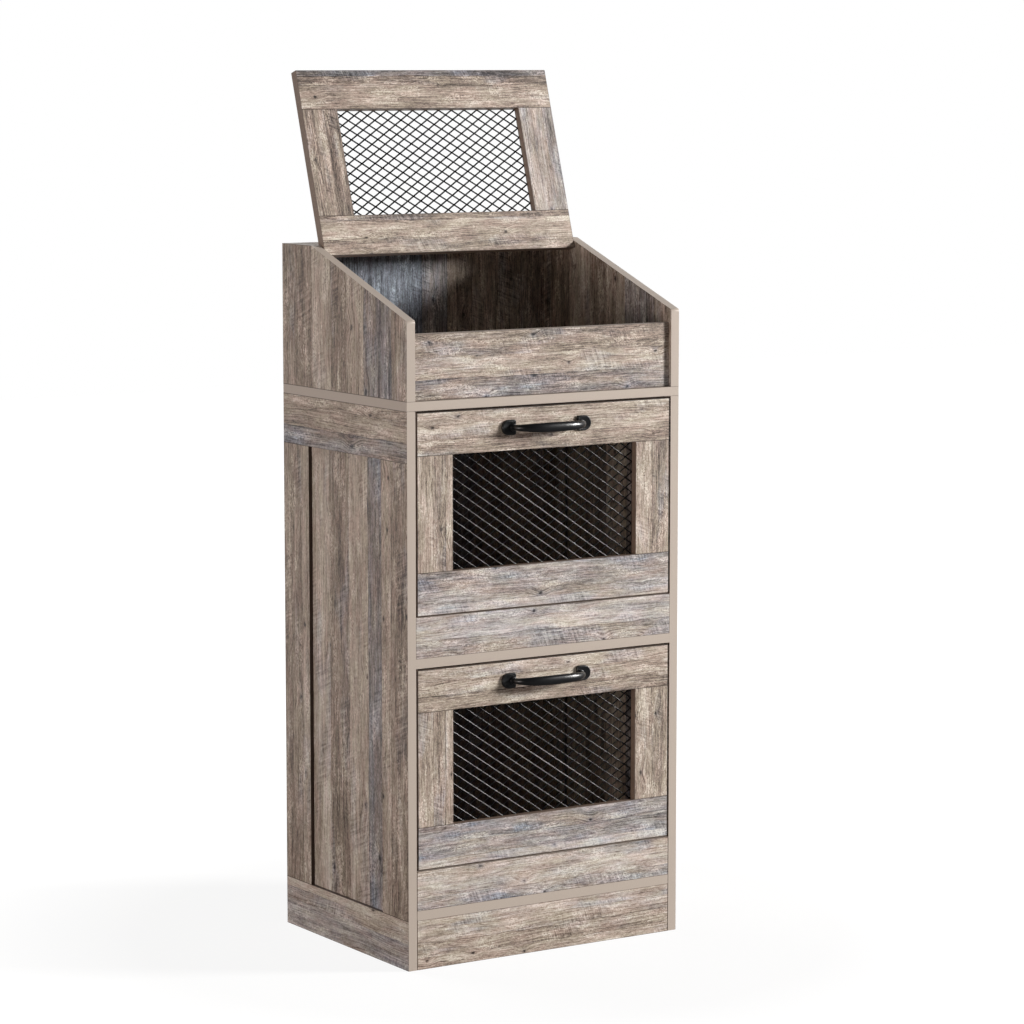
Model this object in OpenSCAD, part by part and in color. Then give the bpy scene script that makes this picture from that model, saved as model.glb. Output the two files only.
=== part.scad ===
// Potato storage bin: a slim upright cabinet of board with wire mesh fronts.
// A bin with a sloping mesh lid stands on top, over two lockers with drop-down mesh doors.
// All sizes are in millimetres. +Z is up, the front faces -Y, +X is to the right.
// The origin is on the floor, in the middle of the whole outline, handles included.

/* [Cabinet] */
// Width over the two sides
body_w = 401; // [350:1:470]
// Depth from the front edges to the back edges
body_d = 305; // [280:1:350]
// Height of the sides at the back
body_h = 881; // [860:1:930]
// Height of the sides at the front corner
front_h = 800; // [780:1:820]
// Depth of the level stretch at the top of each side
flat_top = 74; // [68:1:90]
// Thickness of every board
board = 12; // [11:0.5:14]
// Thickness of the thin panels that slide in grooves
thin = 3; // [2.5:0.5:4]
// Depth of those grooves
groove = 5; // [3:0.5:6]
// How far the thin back panel lies in from the back edges
back_inset = 8; // [6:1:14]
// How far the inset panels of the sides lie in from the outer face
side_inset = 5; // [3:0.5:6]
// Radius on the front corner of the upper sides
side_corner_r = 4; // [1:0.5:8]

/* [Heights on the front] */
// Height of the space under the bottom board
plinth_h = 62; // [50:1:80]
// Height of the fixed panel under the lower door
lower_panel_h = 49.5; // [40:0.5:60]
// Height of the fixed panel under the upper door
upper_panel_h = 51; // [40:0.5:60]
// Height of each door
door_h = 249; // [230:1:262]
// Gap over a door
door_gap_top = 2; // [1.5:0.1:3]
// Gap at each side of a door
door_gap_side = 2; // [1:0.1:3]
// Gap under a door
door_gap_low = 1; // [1:0.1:2]
// Gap at each end of the three lowest cross boards
base_gap = 0.6; // [0.2:0.1:1]
// How far the front board of the top bin is set back
front_board_inset = 5; // [2:0.5:10]

/* [Frames of the doors and the lid] */
// Height of the top and bottom rails of a door
door_rail = 53; // [45:1:60]
// Width of the stiles of a door
door_stile = 51; // [45:1:60]
// Height of the front and rear rails of the lid
lid_rail = 51; // [45:1:60]
// Width of the stiles of the lid
lid_stile = 51; // [45:1:60]
// Radius on the bottom front edge of a door
door_edge_r = 2; // [1.5:0.1:3]

/* [Frames of the sides] */
// Height of the top rail of a side
side_top_rail = 63; // [55:1:75]
// Height of the bottom rail of a side
side_bottom_rail = 62; // [50:1:80]
// Width of the front stile of a side
side_front_stile = 62; // [54:1:75]
// Width of the rear stile of a side
side_rear_stile = 64; // [54:1:75]

/* [Lid] */
// How far the open lid leans back from upright
lid_lean = 17.5; // [12:0.5:22]
// How much steeper the closed lid lies than the slope of the sides
lid_droop = 1.5; // [0:0.1:3]
// Gap at each side of the lid
lid_gap_side = 1; // [0.6:0.1:2]
// Gap between the closed lid and the bend in the slope
lid_gap_rear = 2; // [1.5:0.1:3]
// Gap between the closed lid's front end and the front corner
lid_gap_front = 1.8; // [1:0.1:4]

/* [Wire mesh] */
// Width of a diamond, before a whole number of them is fitted in
cell_w = 19.4; // [16:0.1:24]
// Height of a diamond, before a whole number of them is fitted in
cell_h = 13; // [11:0.1:16]
// Width of a strand
strand = 1.3; // [1:0.1:2]
// Thickness of the mesh
mesh_t = 1.2; // [0.8:0.1:1.6]
// Width of the solid rim round the mesh
mesh_rim = 6; // [5:0.5:8]
// Depth of the rebate that holds the mesh
rebate_d = 3; // [2.8:0.1:3.6]
// Play round the rim in its rebate
mesh_play = 1; // [0.4:0.1:1.5]

/* [Handles] */
// Length over both end plates
handle_len = 131; // [110:1:160]
// How far a handle stands out from its door
handle_reach = 29; // [25:1:36]
// Length of an end plate
plate_w = 20; // [18:0.5:24]
// Height of an end plate
plate_h = 19; // [16:0.5:22]
// Thickness of an end plate
plate_t = 3.5; // [3:0.1:5]
// Thickness of the grip, from front to back
grip_t = 7; // [6:0.1:8]
// Height of the grip at its ends
grip_h_end = 7; // [6:0.1:8]
// Height of the grip at the middle
grip_h_mid = 12; // [9:0.1:14]
// How square the bow of the grip is: 2 is an ellipse
grip_square = 2.6; // [2:0.1:4]
// How far the handle sits above the middle of its rail
handle_rise = 2; // [0:0.5:4]

/* [Pivots and catches] */
// Radius of the lid's pivot pins
lid_pin_r = 2.5; // [2:0.1:3]
// Radius of the doors' pivot pins
door_pin_r = 1.5; // [1.2:0.1:1.7]
// How far a door's pivot lies in from its bottom front edge
door_pivot_in = 3.5; // [3.4:0.1:4.5]
// How far a pin goes into a side
pin_bite = 8; // [6:0.5:9]
// How far a pin goes into a door or the lid
pin_reach = 12; // [8:0.5:20]
// Width of a catch between its ears
catch_w = 34; // [28:1:44]
// Depth of a catch, from front to back
catch_d = 14; // [11:0.5:20]
// Height of a catch
catch_h = 12; // [10:0.5:16]
// Width of a catch's magnet
magnet_w = 22; // [14:1:24]
// Gap between a magnet and its strike plate
catch_gap = 0.4; // [0.3:0.1:1]

/* [Fasteners] */
// Radius of a dowel
dowel_r = 3; // [2.5:0.1:3.5]
// Length of a dowel
dowel_len = 30; // [24:1:34]
// Radius of a cam lock
cam_r = 6; // [5:0.5:7]
// Depth of a cam lock's bore
cam_depth = 9.5; // [9:0.1:10.5]
// Distance from a joint to the middle of its cam lock
cam_in = 24; // [20:1:30]
// Radius of a cam bolt
bolt_r = 2.5; // [2:0.1:3]
// How far a bolt or a dowel goes into the face of a board
bite = 8; // [6:0.5:9]
// Radius of a handle screw
handle_screw_r = 2; // [1.8:0.1:2.2]
// Radius of the small screws
small_screw_r = 1; // [0.8:0.1:1.2]

/* [Hidden] */
// Radial clearance of every pin, dowel, bolt and screw in its hole
fit = 0.05;
// Clearance at the end of a hole, and of a thin panel at the bottom of its groove
end_fit = 0.3;
// Clearance of a thin panel at each face
panel_fit = 0.1;
// Clearance where a moving piece comes to rest on a stop
stop_fit = 0.3;
// How far a cutter runs past a face
past = 1;

EDGE = "#b9ab9b";
WOOD = "#9c8d7d";
WOOD_DARK = "#85786b";
HARDBOARD = "#6f645a";
BEECH = "#c9a878";
BLACK = "#1b1b1c";
STEEL = "#b4b6b8";
ZINC = "#9b9da0";
PLASTIC = "#2a2b2d";

// Places across the cabinet
outer_x = body_w / 2;
inner_x = outer_x - board;
mid_x = outer_x - board / 2;
front_y = (handle_reach - body_d) / 2;
back_y = front_y + body_d;
panel_back_y = back_y - back_inset;
panel_front_y = panel_back_y - thin;
front_stile_y = front_y + side_front_stile / 2;
rear_stile_y = back_y - side_rear_stile / 2;

// Heights up the front
lower_panel_z = plinth_h + board;
lower_door_z = lower_panel_z + lower_panel_h + door_gap_low;
shelf_z = lower_door_z + door_h + door_gap_top;
upper_panel_z = shelf_z + board;
upper_door_z = upper_panel_z + upper_panel_h + door_gap_low;
top_z = upper_door_z + door_h + door_gap_top;
bin_z = top_z + board;
side_open_z = top_z - side_top_rail;

// The slope of the upper sides, and the lid that closes on it
kink_y = back_y - flat_top;
slope_run = kink_y - front_y;
slope_rise = body_h - front_h;
slope = atan2(slope_rise, slope_run);
lid_len = norm([slope_run, slope_rise]) - lid_gap_rear - lid_gap_front;
lid_w = body_w - 2 * board - 2 * lid_gap_side;
lid_pivot_in = board / 2;
lid_pivot_y = kink_y - (lid_gap_rear + lid_pivot_in) * cos(slope) + board / 2 * sin(slope);
lid_pivot_z = body_h - (lid_gap_rear + lid_pivot_in) * sin(slope) - board / 2 * cos(slope);
// The open lid leans on the front edge of the rear top board
rest_edge_y = lid_pivot_y + (board / 2 + stop_fit) / cos(lid_lean)
    + (body_h - lid_pivot_z) * tan(lid_lean);
// The closed lid rests on the front board with the lower corner of its front end, or further in
front_board_y = front_y + front_board_inset;
closed_turn = slope + lid_droop;
lid_corner_y = lid_pivot_y - (lid_len - lid_pivot_in) * cos(closed_turn) + board / 2 * sin(closed_turn);
front_board_top = lid_pivot_z - (lid_pivot_y - max(lid_corner_y, front_board_y)) * tan(closed_turn)
    - (board / 2 + stop_fit) / cos(closed_turn);
rear_board_z = body_h - board;

// Framed panels: width, height, rail height, stile width
DOOR = [body_w - 2 * board - 2 * door_gap_side, door_h, door_rail, door_stile];
LID = [lid_w, lid_len, lid_rail, lid_stile];

function open_w(p) = p[0] - 2 * p[3];
function open_h(p) = p[1] - 2 * p[2];

// A box between two corners
module block(low, high) translate(low) cube(high - low);

// Dowels. Each is a middle point, its direction and how much of it lies behind the joint
function stile_dowel_places(edge, width, way) = [for (share = [1 / 4, 3 / 4]) edge + way * share * width];
side_frame_dowels = [
    for (s = [-1, 1])
        for (z = [side_bottom_rail, side_open_z])
            for (y = concat(stile_dowel_places(front_y, side_front_stile, 1),
                            stile_dowel_places(back_y, side_rear_stile, -1)))
                [[s * mid_x, y, z], [0, 0, 1], dowel_len / 2]
];
kick_dowels = x_dowels([for (share = [1 / 4, 3 / 4]) [front_y + board / 2, share * plinth_h]]);
lower_panel_dowels = x_dowels([[front_y + board / 2, lower_panel_z + 2 / 3 * lower_panel_h]]);
upper_panel_dowels = x_dowels([[front_y + board / 2, upper_panel_z + 2 / 3 * upper_panel_h]]);
shelf_dowels = x_dowels([for (y = [front_stile_y - 3 * cam_r, rear_stile_y - 3 * cam_r])
    [y, shelf_z + board / 2]]);
rail_top_dowels = z_dowels([for (s = [-1, 1]) for (share = [0.3, 0.7])
    [s * mid_x, front_y + share * body_d]], top_z, -1);
side_foot_dowels = z_dowels([for (s = [-1, 1]) for (share = [0.4, 0.6])
    [s * mid_x, front_y + share * body_d]], bin_z, 1);
front_board_dowels = z_dowels([for (share = [-0.6, 0.6])
    [share * inner_x, front_board_y + board / 2]], bin_z, 1);
// These end short of the groove under them
back_board_foot_dowels = z_dowels([for (share = [-0.6, 0.6])
    [share * inner_x, back_y - board / 2]], bin_z, 1, board / 2);
back_board_head_dowels = z_dowels([for (share = [-0.6, 0.6])
    [share * inner_x, back_y - board / 2]], rear_board_z, -1);

function x_dowels(places) = [for (s = [-1, 1]) for (p = places) [[s * inner_x, p[0], p[1]], [-s, 0, 0], bite]];
function z_dowels(places, z, way, behind = bite) = [for (p = places) [[p[0], p[1], z], [0, 0, way], behind]];

// Cam joints. Each is a point on the joint, the bolt's direction and the side the cam opens to
function x_cams(places, opens) =
    [for (s = [-1, 1]) for (p = places) [[s * inner_x, p[0], p[1]], [-s, 0, 0], opens]];
function z_cams(shares, z, way) =
    [for (s = [-1, 1]) for (share = shares) [[s * mid_x, front_y + share * body_d, z], [0, 0, way], [-s, 0, 0]]];
bottom_cams = x_cams([[front_stile_y, plinth_h + board / 2], [rear_stile_y, plinth_h + board / 2]], [0, 0, -1]);
shelf_cams = x_cams([[front_stile_y, shelf_z + board / 2], [rear_stile_y, shelf_z + board / 2]], [0, 0, -1]);
kick_cams = x_cams([[front_y + board / 2, plinth_h / 2]], [0, 1, 0]);
lower_panel_cams = x_cams([[front_y + board / 2, lower_panel_z + lower_panel_h / 3]], [0, 1, 0]);
upper_panel_cams = x_cams([[front_y + board / 2, upper_panel_z + upper_panel_h / 3]], [0, 1, 0]);
rail_top_cams = z_cams([0.12, 0.88], top_z, -1);
side_foot_cams = z_cams([0.2, 0.8], bin_z, 1);
front_board_cams = x_cams([[front_board_y + board / 2, (bin_z + front_board_top) / 2]], [0, 1, 0]);
back_board_cams = x_cams([for (share = [0.25, 0.75])
    [back_y - board / 2, bin_z + share * (rear_board_z - bin_z)]], [0, 1, 0]);
rear_board_cams = x_cams([[(rest_edge_y + back_y) / 2, body_h - board / 2]], [0, 0, -1]);

// Puts a joint's own frame in place: +Z along the bolt, +X to the open side of the cam
module at_joint(joint) {
    along = joint[1];
    opens = joint[2];
    side = cross(along, opens);
    point = joint[0];
    multmatrix([
        [opens[0], side[0], along[0], point[0]],
        [opens[1], side[1], along[1], point[1]],
        [opens[2], side[2], along[2], point[2]]
    ]) children();
}

module cam_holes(joints) {
    for (joint = joints) at_joint(joint) {
        translate([0, 0, -bite - end_fit]) cylinder(r = bolt_r + fit, h = bite + end_fit + cam_in, $fn = 32);
        translate([board / 2 - cam_depth, 0, cam_in]) rotate([0, 90, 0])
            cylinder(r = cam_r + fit, h = cam_depth + past, $fn = 48);
    }
}

module dowel(joint, extra_r, extra_h) {
    way = joint[1];
    turn = way[0] != 0 ? [0, 90 * way[0], 0] : way[2] < 0 ? [180, 0, 0] : [0, 0, 0];
    translate(joint[0]) rotate(turn) translate([0, 0, -joint[2] - extra_h])
        cylinder(r = dowel_r + extra_r, h = dowel_len + 2 * extra_h, $fn = 32);
}

module dowel_holes(joints) for (joint = joints) dowel(joint, fit, end_fit);

// The frame of each side
module side_member(s, low, high) {
    x_near = min(s * inner_x, s * outer_x);
    difference() {
        block([x_near, low[0], low[1]], [x_near + board, high[0], high[1]]);
        children();
        dowel_holes(side_frame_dowels);
    }
}

// Space for a side's inset panel, to the bottom of its grooves
module inset_space(s, room, wide) {
    x_mid = s * (outer_x - side_inset - thin / 2);
    reach = groove - end_fit + room;
    block([x_mid - thin / 2 - wide, front_y + side_front_stile - reach, side_bottom_rail - reach],
          [x_mid + thin / 2 + wide, back_y - side_rear_stile + reach, side_open_z + reach]);
}

// Space for the thin back panel, to the bottom of its grooves
module back_space(room, wide) {
    reach = groove - end_fit + room;
    block([-inner_x - reach, panel_front_y - wide, lower_panel_z - reach],
          [inner_x + reach, panel_back_y + wide, top_z + reach]);
}

module side_cuts(s) {
    inset_space(s, end_fit, panel_fit);
    back_space(end_fit, panel_fit);
}

module front_stile(s) color(WOOD)
    side_member(s, [front_y, side_bottom_rail], [front_y + side_front_stile, side_open_z]) {
        side_cuts(s);
        cam_holes(concat(bottom_cams, shelf_cams, lower_panel_cams, upper_panel_cams));
        dowel_holes(concat(shelf_dowels, lower_panel_dowels, upper_panel_dowels));
        door_pin_holes(lower_door_z);
        door_pin_holes(upper_door_z);
    }

module rear_stile(s) color(WOOD)
    side_member(s, [back_y - side_rear_stile, side_bottom_rail], [back_y, side_open_z]) {
        side_cuts(s);
        cam_holes(concat(bottom_cams, shelf_cams));
        dowel_holes(shelf_dowels);
    }

module side_top(s) color(WOOD)
    side_member(s, [front_y, side_open_z], [back_y, top_z]) {
        side_cuts(s);
        cam_holes(rail_top_cams);
        dowel_holes(rail_top_dowels);
    }

module side_bottom(s) color(WOOD)
    side_member(s, [front_y, 0], [back_y, side_bottom_rail]) {
        inset_space(s, end_fit, panel_fit);
        cam_holes(kick_cams);
        dowel_holes(kick_dowels);
    }

module inset_panel(s) color(WOOD_DARK) inset_space(s, 0, 0);

module left_front_stile() front_stile(-1);
module right_front_stile() front_stile(1);
module left_rear_stile() rear_stile(-1);
module right_rear_stile() rear_stile(1);
module left_top_rail() side_top(-1);
module right_top_rail() side_top(1);
module left_bottom_rail() side_bottom(-1);
module right_bottom_rail() side_bottom(1);
module left_inset_panel() inset_panel(-1);
module right_inset_panel() inset_panel(1);

// Boards between and on the side frames
module bottom_board() color(EDGE) difference() {
    block([-inner_x + base_gap, front_y, plinth_h], [inner_x - base_gap, back_y, lower_panel_z]);
    back_space(end_fit, panel_fit);
    cam_holes(bottom_cams);
}

module middle_shelf() color(EDGE) difference() {
    block([-inner_x, front_y, shelf_z], [inner_x, panel_front_y - panel_fit, upper_panel_z]);
    cam_holes(shelf_cams);
    dowel_holes(shelf_dowels);
    catch_screw_holes(shelf_z);
}

module top_board() color(EDGE) difference() {
    block([-outer_x, front_y, top_z], [outer_x, back_y, bin_z]);
    back_space(end_fit, panel_fit);
    cam_holes(concat(rail_top_cams, side_foot_cams));
    dowel_holes(concat(rail_top_dowels, side_foot_dowels, front_board_dowels, back_board_foot_dowels));
    catch_screw_holes(top_z);
}

module kick_panel() color(WOOD) difference() {
    block([-inner_x + base_gap, front_y, 0], [inner_x - base_gap, front_y + board, plinth_h]);
    cam_holes(kick_cams);
    dowel_holes(kick_dowels);
}

module lower_retaining_panel() color(WOOD) difference() {
    block([-inner_x + base_gap, front_y, lower_panel_z],
          [inner_x - base_gap, front_y + board, lower_panel_z + lower_panel_h]);
    cam_holes(lower_panel_cams);
    dowel_holes(lower_panel_dowels);
}

module upper_retaining_panel() color(WOOD) difference() {
    block([-inner_x, front_y, upper_panel_z], [inner_x, front_y + board, upper_panel_z + upper_panel_h]);
    cam_holes(upper_panel_cams);
    dowel_holes(upper_panel_dowels);
}

module lower_back_panel() color(HARDBOARD) back_space(0, 0);

// The bin on top
module side_outline() difference() {
    polygon([[front_y, bin_z], [back_y, bin_z], [back_y, body_h], [kink_y, body_h], [front_y, front_h]]);
    // The sharp front corner is cut back to a round one
    corner_turn = (90 - slope) / 2;
    tangent = side_corner_r * tan(corner_turn);
    centre = [front_y + side_corner_r, front_h - tangent];
    difference() {
        polygon([[front_y - past, front_h - tangent], [front_y, front_h + past],
                 [front_y + tangent * cos(slope), front_h + tangent * sin(slope) + past],
                 [front_y + tangent * cos(slope), front_h + tangent * sin(slope)], centre]);
        translate(centre) circle(r = side_corner_r, $fn = 64);
    }
}

module upper_side(s) color(WOOD) difference() {
    translate([min(s * inner_x, s * outer_x), 0, 0]) rotate([90, 0, 90]) linear_extrude(board) side_outline();
    cam_holes(concat(side_foot_cams, front_board_cams, back_board_cams, rear_board_cams));
    dowel_holes(side_foot_dowels);
    lid_pin_holes();
}

module upper_left_side() upper_side(-1);
module upper_right_side() upper_side(1);

module upper_front_panel() color(WOOD) difference() {
    block([-inner_x, front_board_y, bin_z], [inner_x, front_board_y + board, front_board_top]);
    cam_holes(front_board_cams);
    dowel_holes(front_board_dowels);
}

module upper_back_panel() color(WOOD_DARK) difference() {
    block([-inner_x, back_y - board, bin_z], [inner_x, back_y, rear_board_z]);
    cam_holes(back_board_cams);
    dowel_holes(concat(back_board_foot_dowels, back_board_head_dowels));
}

module rear_top_board() color(WOOD) difference() {
    block([-inner_x, rest_edge_y, rear_board_z], [inner_x, back_y, body_h]);
    cam_holes(rear_board_cams);
    dowel_holes(back_board_head_dowels);
}

// Fasteners of the cabinet
all_cams = concat(bottom_cams, shelf_cams, kick_cams, lower_panel_cams, upper_panel_cams, rail_top_cams,
    side_foot_cams, front_board_cams, back_board_cams, rear_board_cams);

module cam_locks() color(ZINC) for (joint = all_cams) at_joint(joint) difference() {
    translate([board / 2 - cam_depth, 0, cam_in]) rotate([0, 90, 0])
        cylinder(r = cam_r, h = cam_depth - end_fit, $fn = 48);
    // Way in for the head of the bolt
    translate([0, 0, cam_in - cam_r - past]) cylinder(r = bolt_r + 4 * fit, h = cam_r + bolt_r + past, $fn = 32);
    // Cross for the screwdriver
    for (turn = [0, 90]) translate([board / 2 - end_fit, 0, cam_in]) rotate([turn, 0, 0])
        cube([cam_r / 2, 1.2 * cam_r, cam_r / 5], center = true);
}

module cam_bolts() color(STEEL) for (joint = all_cams) at_joint(joint) {
    neck = cam_in - cam_r + 1;
    translate([0, 0, -bite]) cylinder(r = bolt_r, h = bite + neck, $fn = 32);
    translate([0, 0, neck]) cylinder(r = 0.6 * bolt_r, h = cam_in - neck, $fn = 32);
    translate([0, 0, cam_in - bolt_r / 2]) cylinder(r = bolt_r, h = bolt_r, $fn = 32);
}

module cabinet_dowels() color(BEECH)
    for (joint = concat(side_frame_dowels, kick_dowels, lower_panel_dowels, upper_panel_dowels, shelf_dowels,
                        rail_top_dowels, side_foot_dowels, front_board_dowels, back_board_foot_dowels,
                        back_board_head_dowels))
        dowel(joint, 0, 0);

// Pins that the lid and the doors turn on
module pins(radius, gap, y, z, extra_r, extra_h)
    for (s = [-1, 1]) translate([s * (inner_x + pin_bite + extra_h), y, z]) rotate([0, -90 * s, 0])
        cylinder(r = radius + extra_r, h = pin_bite + gap + pin_reach + 2 * extra_h, $fn = 48);

module lid_pin_holes() pins(lid_pin_r, lid_gap_side, lid_pivot_y, lid_pivot_z, fit, end_fit);
module door_pin_holes(z) pins(door_pin_r, door_gap_side, front_y + door_pivot_in, z + door_pivot_in, fit, end_fit);
module lid_pivot_pins() color(STEEL) pins(lid_pin_r, lid_gap_side, lid_pivot_y, lid_pivot_z, 0, 0);
module door_pins(z) color(STEEL)
    pins(door_pin_r, door_gap_side, front_y + door_pivot_in, z + door_pivot_in, 0, 0);
module lower_door_pivot_pins() door_pins(lower_door_z);
module upper_door_pivot_pins() door_pins(upper_door_z);

// Magnetic catches under the shelf and under the top board
strike_t = 1.2;
strike_h = 12;
strike_stem_r = 2.5;
strike_stem_len = 8;
ear_w = 9;
ear_t = 3;
magnet_d = 8;
magnet_h = 7;
magnet_proud = 0.5;
catch_screw_r = 1.5;
catch_screw_len = 12;
screw_head_h = 1.6;
magnet_front_y = front_y + board + strike_t + catch_gap;
catch_front_y = magnet_front_y + magnet_proud;
catch_levels = [shelf_z, top_z];
catch_screw_places = [for (s = [-1, 1]) [s * (catch_w + ear_w) / 2, catch_front_y + catch_d / 2]];

module magnet_shape(z, room)
    block([-magnet_w / 2 - room, magnet_front_y, z - (catch_h + magnet_h) / 2 - room],
          [magnet_w / 2 + room, magnet_front_y + magnet_d + room, z - (catch_h - magnet_h) / 2 + room]);

module catch_screw_holes(z) for (p = catch_screw_places) translate([p[0], p[1], z - ear_t - past])
    cylinder(r = catch_screw_r + fit, h = catch_screw_len - screw_head_h + past + end_fit, $fn = 32);

module catch_housings() color(PLASTIC) for (z = catch_levels) difference() {
    union() {
        block([-catch_w / 2, catch_front_y, z - catch_h], [catch_w / 2, catch_front_y + catch_d, z]);
        block([-catch_w / 2 - ear_w, catch_front_y, z - ear_t], [catch_w / 2 + ear_w, catch_front_y + catch_d, z]);
    }
    magnet_shape(z, panel_fit);
    catch_screw_holes(z);
}

module catch_magnets() color(STEEL) for (z = catch_levels) magnet_shape(z, 0);

module catch_screws() color(STEEL) for (z = catch_levels) for (p = catch_screw_places)
    translate([p[0], p[1], z - ear_t]) {
        translate([0, 0, -screw_head_h]) cylinder(r = 1.9 * catch_screw_r, h = screw_head_h, $fn = 32);
        cylinder(r = catch_screw_r, h = catch_screw_len - screw_head_h, $fn = 32);
    }

// A framed panel stands on z = 0 with its visible face at y = 0 and its mesh in a rebate behind
module mesh_rebate(p) {
    reach = mesh_rim + mesh_play;
    block([-open_w(p) / 2 - reach, board - rebate_d, p[2] - reach],
          [open_w(p) / 2 + reach, board + past, p[1] - p[2] + reach]);
}

function frame_dowel_places(p) = [
    for (s = [-1, 1]) for (share = [1 / 4, 3 / 4]) for (z = [p[2], p[1] - p[2]])
        [s * (p[0] / 2 - share * p[3]), board / 2, z]
];

module frame_dowels(p, extra_r, extra_h) for (place = frame_dowel_places(p))
    translate(place) cylinder(r = dowel_r + extra_r, h = dowel_len + 2 * extra_h, center = true, $fn = 32);

// Screws through the rim: three along each rail and one on each stile
function mesh_screw_places(p) = concat(
    [for (x = [-0.85, 0, 0.85]) for (z = [p[2] - mesh_rim / 2, p[1] - p[2] + mesh_rim / 2])
        [x * open_w(p) / 2, z]],
    [for (s = [-1, 1]) [s * (open_w(p) + mesh_rim) / 2, p[1] / 2]]
);

mesh_screw_len = 6;
mesh_screw_head_h = 1.4;
mesh_screw_head_r = 2.4;

module mesh_screws(p) color(STEEL) for (place = mesh_screw_places(p))
    translate([place[0], board - rebate_d + mesh_t, place[1]]) rotate([90, 0, 0]) {
        cylinder(r = small_screw_r, h = mesh_t + mesh_screw_len, $fn = 32);
        translate([0, 0, -mesh_screw_head_h]) cylinder(r = mesh_screw_head_r, h = mesh_screw_head_h, $fn = 32);
    }

module mesh_screw_holes(p, room) for (place = mesh_screw_places(p))
    translate([place[0], board, place[1]]) rotate([90, 0, 0])
        cylinder(r = small_screw_r + room, h = rebate_d + mesh_screw_len + end_fit, $fn = 32);

module frame_cuts(p) {
    mesh_rebate(p);
    frame_dowels(p, fit, end_fit);
    mesh_screw_holes(p, fit);
}

module frame_rail(p, z) color(WOOD) difference() {
    block([-p[0] / 2, 0, z], [p[0] / 2, board, z + p[2]]);
    frame_cuts(p);
    children();
}

module frame_stile(p, s) color(WOOD) difference() {
    x_near = s < 0 ? -p[0] / 2 : p[0] / 2 - p[3];
    block([x_near, 0, p[2]], [x_near + p[3], board, p[1] - p[2]]);
    frame_cuts(p);
}

// Diamond mesh: a sheet with a rim, and a diamond hole at every second point of a grid.
// The holes on the edge of the opening are cut in half by it, so the strands cross on the edge.
function columns(p) = max(2, round(open_w(p) / cell_w));
function rows(p) = max(2, round(open_h(p) / cell_h));

function hole_outline(p, i, j) =
    let (half_w = open_w(p) / columns(p) / 2,
         half_h = open_h(p) / rows(p) / 2,
         share = 1 - strand / 2 * norm([half_w, half_h]) / (half_w * half_h),
         a = half_w * share,
         b = half_h * share,
         x = i * half_w - open_w(p) / 2,
         z = j * half_h + p[2],
         corners = [[x - a, z], [x, z - b], [x + a, z], [x, z + b]])
    i == 0 ? [corners[1], corners[2], corners[3]] :
    i == 2 * columns(p) ? [corners[3], corners[0], corners[1]] :
    j == 0 ? [corners[2], corners[3], corners[0]] :
    j == 2 * rows(p) ? [corners[0], corners[1], corners[2]] :
    corners;

module diamond_mesh(p) color(BLACK) difference() {
    translate([0, board - rebate_d + mesh_t, 0]) rotate([90, 0, 0]) linear_extrude(mesh_t) difference() {
        translate([-open_w(p) / 2 - mesh_rim, p[2] - mesh_rim])
            square([open_w(p) + 2 * mesh_rim, open_h(p) + 2 * mesh_rim]);
        for (i = [0 : 2 * columns(p)])
            for (j = [1 - i % 2 : 2 : 2 * rows(p)])
                polygon(hole_outline(p, i, j));
    }
    mesh_screw_holes(p, 3 * fit);
}

// The lid, placed open as it stands at rest
module at_lid() translate([0, lid_pivot_y, lid_pivot_z]) rotate([-lid_lean, 0, 0])
    translate([0, -board / 2, -lid_pivot_in]) children();

// The pin holes in the lid's own place
module lid_bores() for (s = [-1, 1]) translate([s * (lid_w / 2 + past), board / 2, lid_pivot_in])
    rotate([0, -90 * s, 0]) cylinder(r = lid_pin_r + fit, h = past + pin_reach + end_fit, $fn = 48);

module lid_rear_rail() at_lid() frame_rail(LID, 0) lid_bores();
module lid_front_rail() at_lid() frame_rail(LID, lid_len - lid_rail);
module lid_left_stile() at_lid() frame_stile(LID, -1);
module lid_right_stile() at_lid() frame_stile(LID, 1);
module lid_mesh() at_lid() diamond_mesh(LID);
module lid_mesh_screws() at_lid() mesh_screws(LID);
module lid_dowels() at_lid() color(BEECH) frame_dowels(LID, 0, 0);

// The doors
module at_door(z) translate([0, front_y, z]) children();

handle_z = door_h - door_rail / 2 + handle_rise;
foot_x = handle_len / 2 - plate_w + grip_t / 2 + 1;
handle_screw_depth = 6;
handle_head_r = 3.8;
handle_head_h = 2.4;
strike_z = door_h + door_gap_top - catch_h / 2 - strike_h / 4;

module handle_holes() for (s = [-1, 1]) translate([s * foot_x, board + past, handle_z]) rotate([90, 0, 0])
    cylinder(r = handle_screw_r + fit, h = past + board + handle_screw_depth + end_fit, $fn = 32);

module door_bores() for (s = [-1, 1])
    translate([s * (DOOR[0] / 2 + past), door_pivot_in, door_pivot_in]) rotate([0, -90 * s, 0])
        cylinder(r = door_pin_r + fit, h = past + pin_reach + end_fit, $fn = 48);

// What is taken off the bottom front edge, so that the door clears the panel below as it turns
module door_edge_round() rotate([90, 0, 90]) translate([0, 0, -DOOR[0]]) linear_extrude(2 * DOOR[0])
    difference() {
        translate([-past, -past]) square(door_edge_r + past);
        translate([door_edge_r, door_edge_r]) circle(r = door_edge_r, $fn = 64);
    }

module strike_stem(extra_r, extra_h) translate([0, board + past * (extra_r > 0 ? 1 : 0), strike_z])
    rotate([90, 0, 0]) cylinder(r = strike_stem_r + extra_r,
                                h = strike_stem_len + extra_h + past * (extra_r > 0 ? 1 : 0), $fn = 32);

module door_top_rail(z) at_door(z) frame_rail(DOOR, door_h - door_rail) {
    handle_holes();
    strike_stem(fit, end_fit);
}

module door_bottom_rail(z) at_door(z) frame_rail(DOOR, 0) {
    door_bores();
    door_edge_round();
}

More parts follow.
